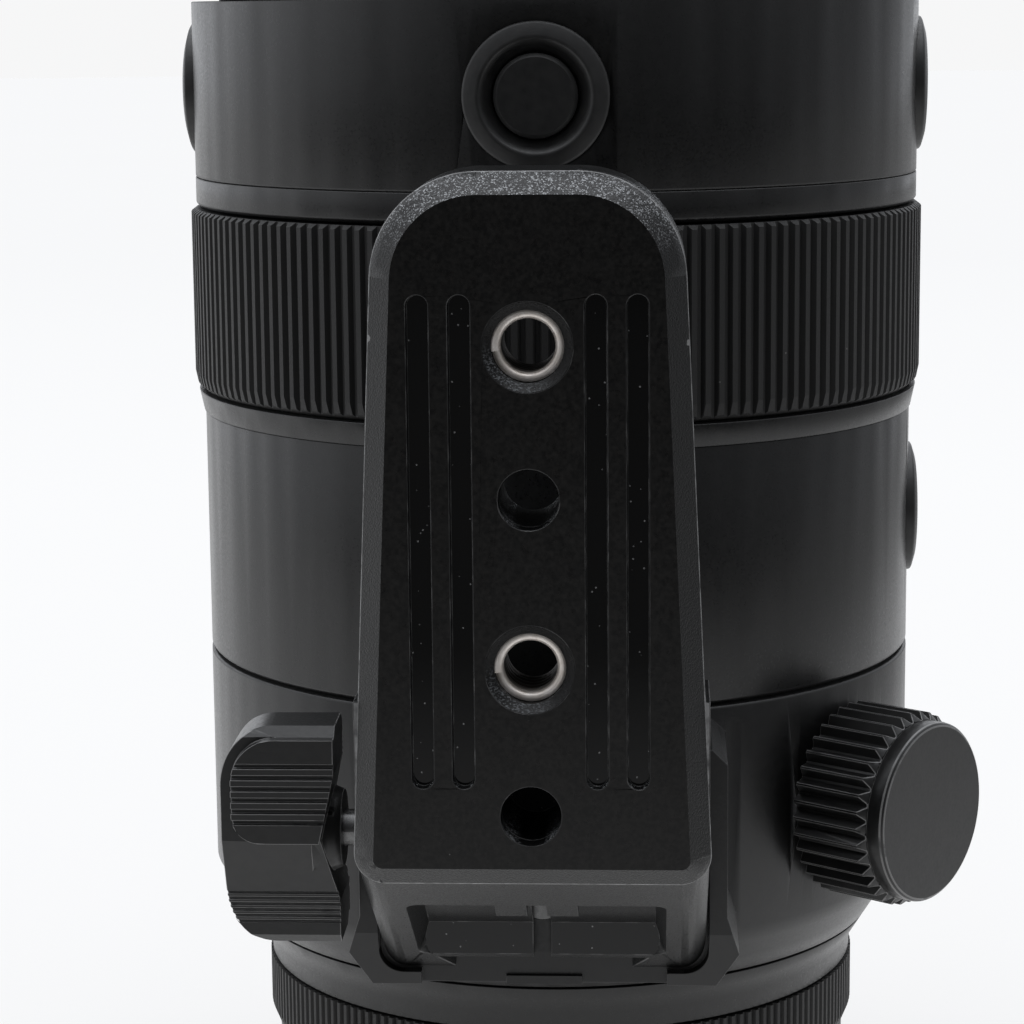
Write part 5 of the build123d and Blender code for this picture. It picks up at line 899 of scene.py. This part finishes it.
def thread_coils():
    """Wire thread inserts of the foot, in place of the plain sleeves, each in its sunk seat."""
    turns = INSERT_LENGTH / INSERT_PITCH - 1
    verts, faces = coil(INSERT_BORE_R, INSERT_R, INSERT_PITCH, turns, WIRE_START)
    seat_outline = (
        (SINK_R, SINK_TOP_H, 0), (INSERT_R, SINK_LOW_H, 0),
        (INSERT_R, INSERT_TOP_H, 0), (SINK_R, INSERT_TOP_H, 0),
    )
    seat_verts, seat_faces = lathe(seat_outline)
    for index, z in enumerate(INSERT_PLACES):
        name = f"insert_coil_{index + 1}"
        place = radial_frame(0, INSERT_TOP_H, z)
        piece = add_piece(name, verts, faces, "insert", "foot", place)
        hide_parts("thread_inserts")
        name = f"insert_seat_{index + 1}"
        place = radial_frame(0, 0, z)
        add_piece(name, seat_verts, seat_faces, "sink", "foot", place)


def front_rim():
    """Front ring with its helical filter thread and hood groove."""
    groove_r = RIM_R - HOOD_GROOVE_DEPTH
    thread_top = RIM_TOP - RIM_EDGE
    outline = [
        (RIM_FLOOR_R, RIM_LOW), (RIM_R, RIM_LOW),
        (RIM_R, HOOD_GROOVE_LOW), (groove_r, HOOD_GROOVE_LOW),
        (groove_r, HOOD_GROOVE_TOP), (RIM_R, HOOD_GROOVE_TOP),
        (RIM_R, thread_top), (RIM_R - RIM_EDGE, RIM_TOP), (RIM_BORE_R + RIM_EDGE, RIM_TOP),
    ]
    profile = [(r, z, 0) for r, z in outline]
    rows = round((thread_top - RIM_FLOOR) / RIM_THREAD_PITCH * RIM_ROWS_A_TURN)
    for row in range(rows + 1):
        z = thread_top - (thread_top - RIM_FLOOR) * row / rows
        share = min(1, (z - RIM_FLOOR) / RIM_THREAD_END, (thread_top - z) / RIM_THREAD_END)
        profile.append((RIM_BORE_R, z, max(0, share)))
    profile.append((RIM_FLOOR_R, RIM_FLOOR, 0))
    verts, faces = lathe(profile, RIM_STEPS, RIM_THREAD_DEPTH, RIM_THREAD_PITCH)
    piece = add_piece("front_rim", verts, faces, "rim", "barrel")
    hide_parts("filter_ring")


def bezels():
    """Ring round each button: a sloping face, and a cone down to the button."""
    verts, faces = lathe([(r, height, 0) for r, height in BEZEL_PROFILE], RIM_STEPS)
    step = math.degrees(math.tau / BUTTON_COUNT)
    places = [(BUTTON_AZIMUTH + index * step, UPPER_BARREL_R, BUTTON_Z) for index in range(BUTTON_COUNT)]
    places.append((SIDE_BUTTON_AZIMUTH, BARREL_R, SIDE_BUTTON_Z))
    for index, place in enumerate(places):
        name = f"bezel_{index + 1}"
        piece = add_piece(name, verts, faces, "plastic", "barrel", radial_frame(*place))
        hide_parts("button_bezels")


def cross_outline(reach, half):
    """Corners of a cross, round the middle."""
    corners = []
    for arm in range(CROSS_ARMS):
        angle = arm * math.tau / CROSS_ARMS
        for along, across in ((half, -half), (reach, -half), (reach, half)):
            x = along * math.cos(angle) - across * math.sin(angle)
            y = along * math.sin(angle) + across * math.cos(angle)
            corners.append((x, y))
    return corners


def cross_screw():
    """A screw with a cross recess, its head's top at height 0."""
    shape = bmesh.new()

    def loop(points, height):
        return [shape.verts.new((x, y, height)) for x, y in points]

    def circle(radius):
        angles = [step * math.tau / ROUND_STEPS for step in range(ROUND_STEPS)]
        return [(radius * math.cos(a), radius * math.sin(a)) for a in angles]

    def wall(first, second):
        for i in range(len(first)):
            j = (i + 1) % len(first)
            shape.faces.new((first[i], first[j], second[j], second[i]))

    rings = [
        loop(circle(MOUNT_SCREW_HEAD_R - MOUNT_SCREW_EDGE), 0),
        loop(circle(MOUNT_SCREW_HEAD_R), -MOUNT_SCREW_EDGE),
        loop(circle(MOUNT_SCREW_HEAD_R), -MOUNT_SCREW_HEAD_DEPTH),
        loop(circle(MOUNT_SCREW_SHANK_R), -MOUNT_SCREW_HEAD_DEPTH),
        loop(circle(MOUNT_SCREW_SHANK_R), -MOUNT_SCREW_LENGTH),
    ]
    for first, second in zip(rings, rings[1:]):
        wall(first, second)
    shape.faces.new(rings[-1])
    half = CROSS_WIDTH / 2
    mouth = loop(cross_outline(CROSS_REACH, half), 0)
    deep = loop(cross_outline(CROSS_REACH * CROSS_TAPER_SHARE, half * CROSS_TAPER_SHARE), -CROSS_DEPTH)
    rims = []
    for ring in (rings[0], mouth):
        for i in range(len(ring)):
            pair = (ring[i], ring[(i + 1) % len(ring)])
            rims.append(shape.edges.get(pair) or shape.edges.new(pair))
    bmesh.ops.triangle_fill(shape, use_beauty=True, edges=rims)
    wall(mouth, deep)
    shape.faces.new(deep)
    shape.verts.index_update()
    verts = [tuple(v.co) for v in shape.verts]
    faces = [tuple(v.index for v in face.verts) for face in shape.faces]
    shape.free()
    return verts, faces


def mount_screws():
    """Cross-head screws, flush in the mount's flange, each left at another turn."""
    verts, faces = cross_screw()
    for index in range(MOUNT_SCREW_COUNT):
        angle = (index + 1 / 2) * math.tau / MOUNT_SCREW_COUNT
        around = Matrix.Rotation(angle, MATRIX_SIZE, "Z")
        out = Matrix.Translation((MOUNT_SCREW_CIRCLE_R, 0, 0))
        over = Matrix.Rotation(math.pi, MATRIX_SIZE, "X")
        turned = Matrix.Rotation(angle * (index + 1), MATRIX_SIZE, "Z")
        place = around @ out @ over @ turned
        name = f"mount_screw_{index + 1}"
        piece = add_piece(name, verts, faces, "dark_steel", "barrel", place)
        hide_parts("mount_screws")


def bent(verts, azimuth, radius, z):
    """Wraps flat points (across, along the lens, outwards) on the lens."""
    wrapped = []
    for x, y, out in verts:
        a = math.radians(azimuth) + x / radius
        wrapped.append(((radius + out) * math.sin(a), -(radius + out) * math.cos(a), z + y))
    return wrapped


def add_bar(name, azimuth, radius, z_span, width, body, offset=0.0):
    """A thin painted bar with rounded corners on the lens."""
    z_low, z_high = z_span
    half = width / 2
    tall = (z_high - z_low) / 2
    corner = min(half, tall) * MARK_CORNER_SHARE
    outline = []
    for quarter, (cx, cy) in enumerate(((half, tall), (-half, tall), (-half, -tall), (half, -tall))):
        for part in range(MARK_CORNER_STEPS + 1):
            angle = (quarter + part / MARK_CORNER_STEPS) * math.pi / 2
            x = cx - math.copysign(corner, cx) + corner * math.cos(angle)
            y = cy - math.copysign(corner, cy) + corner * math.sin(angle)
            outline.append((x + offset, y))
    count = len(outline)
    flat = [(x, y, MARK_PROUD) for x, y in outline] + [(x, y, -MARK_PROUD) for x, y in outline]
    faces = [tuple(range(count)), tuple(range(count, 2 * count))]
    faces += [(i, (i + 1) % count, (i + 1) % count + count, i + count) for i in range(count)]
    verts = bent(flat, azimuth, radius, (z_low + z_high) / 2)
    return add_piece(name, verts, faces, "mark", body)


def add_word(name, word, size, azimuth, radius, z, body, slot, offset=0.0):
    """Painted figures on the lens, read with the front of the lens upwards."""
    curve = bpy.data.curves.new(name, "FONT")
    curve.body = word
    curve.size = size
    curve.align_x = "CENTER"
    curve.align_y = "CENTER"
    curve.extrude = MARK_PROUD
    carrier = bpy.data.objects.new(name, curve)
    flat = bpy.data.meshes.new_from_object(carrier)
    verts = bent([(v.co.x + offset, v.co.y, v.co.z) for v in flat.vertices], azimuth, radius, z)
    faces = [tuple(face.vertices) for face in flat.polygons]
    bpy.data.objects.remove(carrier)
    bpy.data.curves.remove(curve)
    bpy.data.meshes.remove(flat)
    return add_piece(name, verts, faces, "mark", body)


def zoom_marks():
    """Focal lengths on the zoom ring, and the index lines at the top of the lens."""
    for number, azimuth in ZOOM_NUMBER_AZIMUTHS.items():
        name = f"zoom_number_{number}"
        add_word(name, number, ZOOM_NUMBER_SIZE, azimuth, ZOOM_RING_R, ZOOM_NUMBER_Z, "zoom", "zoom_shell")
    lines = (
        ("zoom_index", UPPER_BARREL_R, ZOOM_INDEX_SPAN, "barrel", "barrel_paint"),
        ("barrel_index", BARREL_R, BARREL_INDEX_SPAN, "barrel", "barrel_paint"),
        ("collar_index", COLLAR_R, COLLAR_INDEX_SPAN, "collar", "collar_paint"),
    )
    for name, radius, z_span, body, slot in lines:
        add_bar(name, TOP_AZIMUTH, radius, z_span, MARK_LINE, body)


def mount_mark():
    """Domed white dot where the mount meets the camera's mark."""
    dome = [(0, -MOUNT_INDEX_PROUD, 0), (MOUNT_INDEX_R, -MOUNT_INDEX_PROUD, 0)]
    for row in range(MOUNT_INDEX_ROWS):
        angle = row / MOUNT_INDEX_ROWS * math.pi / 2
        dome.append((MOUNT_INDEX_R * math.cos(angle), MOUNT_INDEX_PROUD * math.sin(angle), 0))
    verts, faces = lathe(dome)
    place = radial_frame(TOP_AZIMUTH, REAR_BARREL_R, MOUNT_INDEX_Z)
    add_piece("mount_index", verts, faces, "mark", "barrel", place)


def switch_marks():
    """ON and OFF at the lowest switch, and plain ticks at the others."""
    word_z, *tick_places = SWITCH_PLACES
    for row, z in enumerate(tick_places):
        z_span = (z - MARK_LINE / 2, z + MARK_LINE / 2)
        for side, x in enumerate((-SWITCH_TICK_X, SWITCH_TICK_X)):
            name = f"switch_tick_{row + 2}_{side + 1}"
            add_bar(name, PANEL_AZIMUTH, PANEL_R, z_span, SWITCH_TICK_LENGTH, "barrel", x)
    for word, x in (("ON", -SWITCH_WORD_X), ("OFF", SWITCH_WORD_X)):
        name = f"switch_word_{word.lower()}"
        place = (PANEL_AZIMUTH, PANEL_R, word_z)
        add_word(name, word, SWITCH_WORD_SIZE, *place, "barrel", "bezel_plastic", x)


def add_floor():
    """Pale light table under the lens; it lights the lens less from the front and the right."""
    low = cad_box[0].z - FLOOR_GAP
    half = FLOOR_WIDTH / 2
    corners = [(-half, -FLOOR_DEPTH), (half, -FLOOR_DEPTH), (half, FLOOR_DEPTH), (-half, FLOOR_DEPTH)]
    mesh = bpy.data.meshes.new("floor")
    mesh.from_pydata([(x, y, low) for x, y in corners], [], [tuple(range(len(corners)))])
    look = Look("floor_finish", Emission_Strength=FLOOR_GLOW, Specular_IOR_Level=0.0)
    pale = look.mix(look.noise(FLOOR_CLOUDS), grey(FLOOR_COLOUR * FLOOR_CLOUD_SHARE), grey(FLOOR_COLOUR))
    far = look.span(look.distance((0, 0, 0)), *FLOOR_FADE_SPAN)
    glow = look.mix(far, grey(1.0), grey(FLOOR_FADE))
    along = look.axis_place("Y")
    front = look.span(along, *FLOOR_FRONT_SPAN, FLOOR_FRONT_SHARE, 1)
    beside = look.math("SUBTRACT", look.axis_place("X"), look.math("MULTIPLY", along, FLOOR_RIGHT_SLOPE))
    right_end = FLOOR_RIGHT_EDGE + FLOOR_RIGHT_REACH
    right = look.span(beside, FLOOR_RIGHT_EDGE, right_end, 1, FLOOR_RIGHT_SHARE)
    share = look.math("MAXIMUM", look.camera_ray(), look.math("MULTIPLY", front, right))
    look.colour(look.mix(share, grey(0.0), pale))
    look.links.new(look.mix(share, grey(0.0), glow), look.shader.inputs["Emission Color"])
    look.rough(look.span(look.noise(FLOOR_GRAIN), *GRAIN_SPAN, *FLOOR_ROUGHNESS))
    mesh.materials.append(look.material)
    floor = bpy.data.objects.new("floor", mesh)
    bpy.context.scene.collection.objects.link(floor)


def add_world():
    """White room: bright above and behind, dimmer on the right and dark behind the camera."""
    world = bpy.data.worlds.new("studio")
    bpy.context.scene.world = world
    world.use_nodes = True
    sky = Shading(world.node_tree, "Generated", "Generated")
    to_right = sky.span(sky.facing((1, 0, 0)), *ROOM_RIGHT_COSINES)
    room = sky.mix(to_right, ROOM_LEFT, ROOM_RIGHT)
    parts = (
        ((0, -1, 0), SIDE_COSINES, CAMERA_SIDE_SHARE),
        ((0, 1, 0), SIDE_COSINES, BACK_SHARE),
        ((0, 0, 1), CEILING_COSINES, CEILING_SHARE),
    )
    for direction, cosines, share in parts:
        room = sky.scaled(room, sky.span(sky.facing(direction), *cosines, 1, share))
    seen = sky.mix(sky.camera_ray(), room, BACKDROP)
    sky.links.new(seen, sky.nodes["Background"].inputs["Color"])


def add_camera():
    """The photograph's camera: turned, pitched, panned and rolled as fitted."""
    camera_data = bpy.data.cameras.new("camera")
    camera_data.lens = CAMERA_LENS_MM
    camera_data.sensor_width = SENSOR_MM
    camera = bpy.data.objects.new("camera", camera_data)
    ahead = Vector((math.sin(CAMERA_PAN), math.cos(CAMERA_PAN), 0))
    right = Vector((math.cos(CAMERA_PAN), -math.sin(CAMERA_PAN), 0))
    up = Vector((0, 0, 1))
    forward = ahead * math.cos(CAMERA_PITCH) - up * math.sin(CAMERA_PITCH)
    above = ahead * math.sin(CAMERA_PITCH) + up * math.cos(CAMERA_PITCH)
    image_right = right * math.cos(CAMERA_ROLL) + above * math.sin(CAMERA_ROLL)
    image_up = above * math.cos(CAMERA_ROLL) - right * math.sin(CAMERA_ROLL)
    place = Vector((0, -CAMERA_DISTANCE, CAMERA_HEIGHT))
    turn = Matrix.Rotation(CAMERA_TURN, MATRIX_SIZE, "Z")
    camera.matrix_world = turn @ axes_matrix((image_right, image_up, -forward), place)
    camera_data.clip_start = CAMERA_DISTANCE * CLIP_START_SHARE
    camera_data.clip_end = FLOOR_WIDTH * CLIP_END_SHARE
    bpy.context.scene.collection.objects.link(camera)
    bpy.context.scene.camera = camera


dress_nodes()
thread_coils()
front_rim()
bezels()
mount_screws()
zoom_marks()
mount_mark()
switch_marks()
add_floor()
add_world()
add_camera()
bpy.context.scene.view_settings.view_transform = "Standard"

bpy.context.view_layer.update()
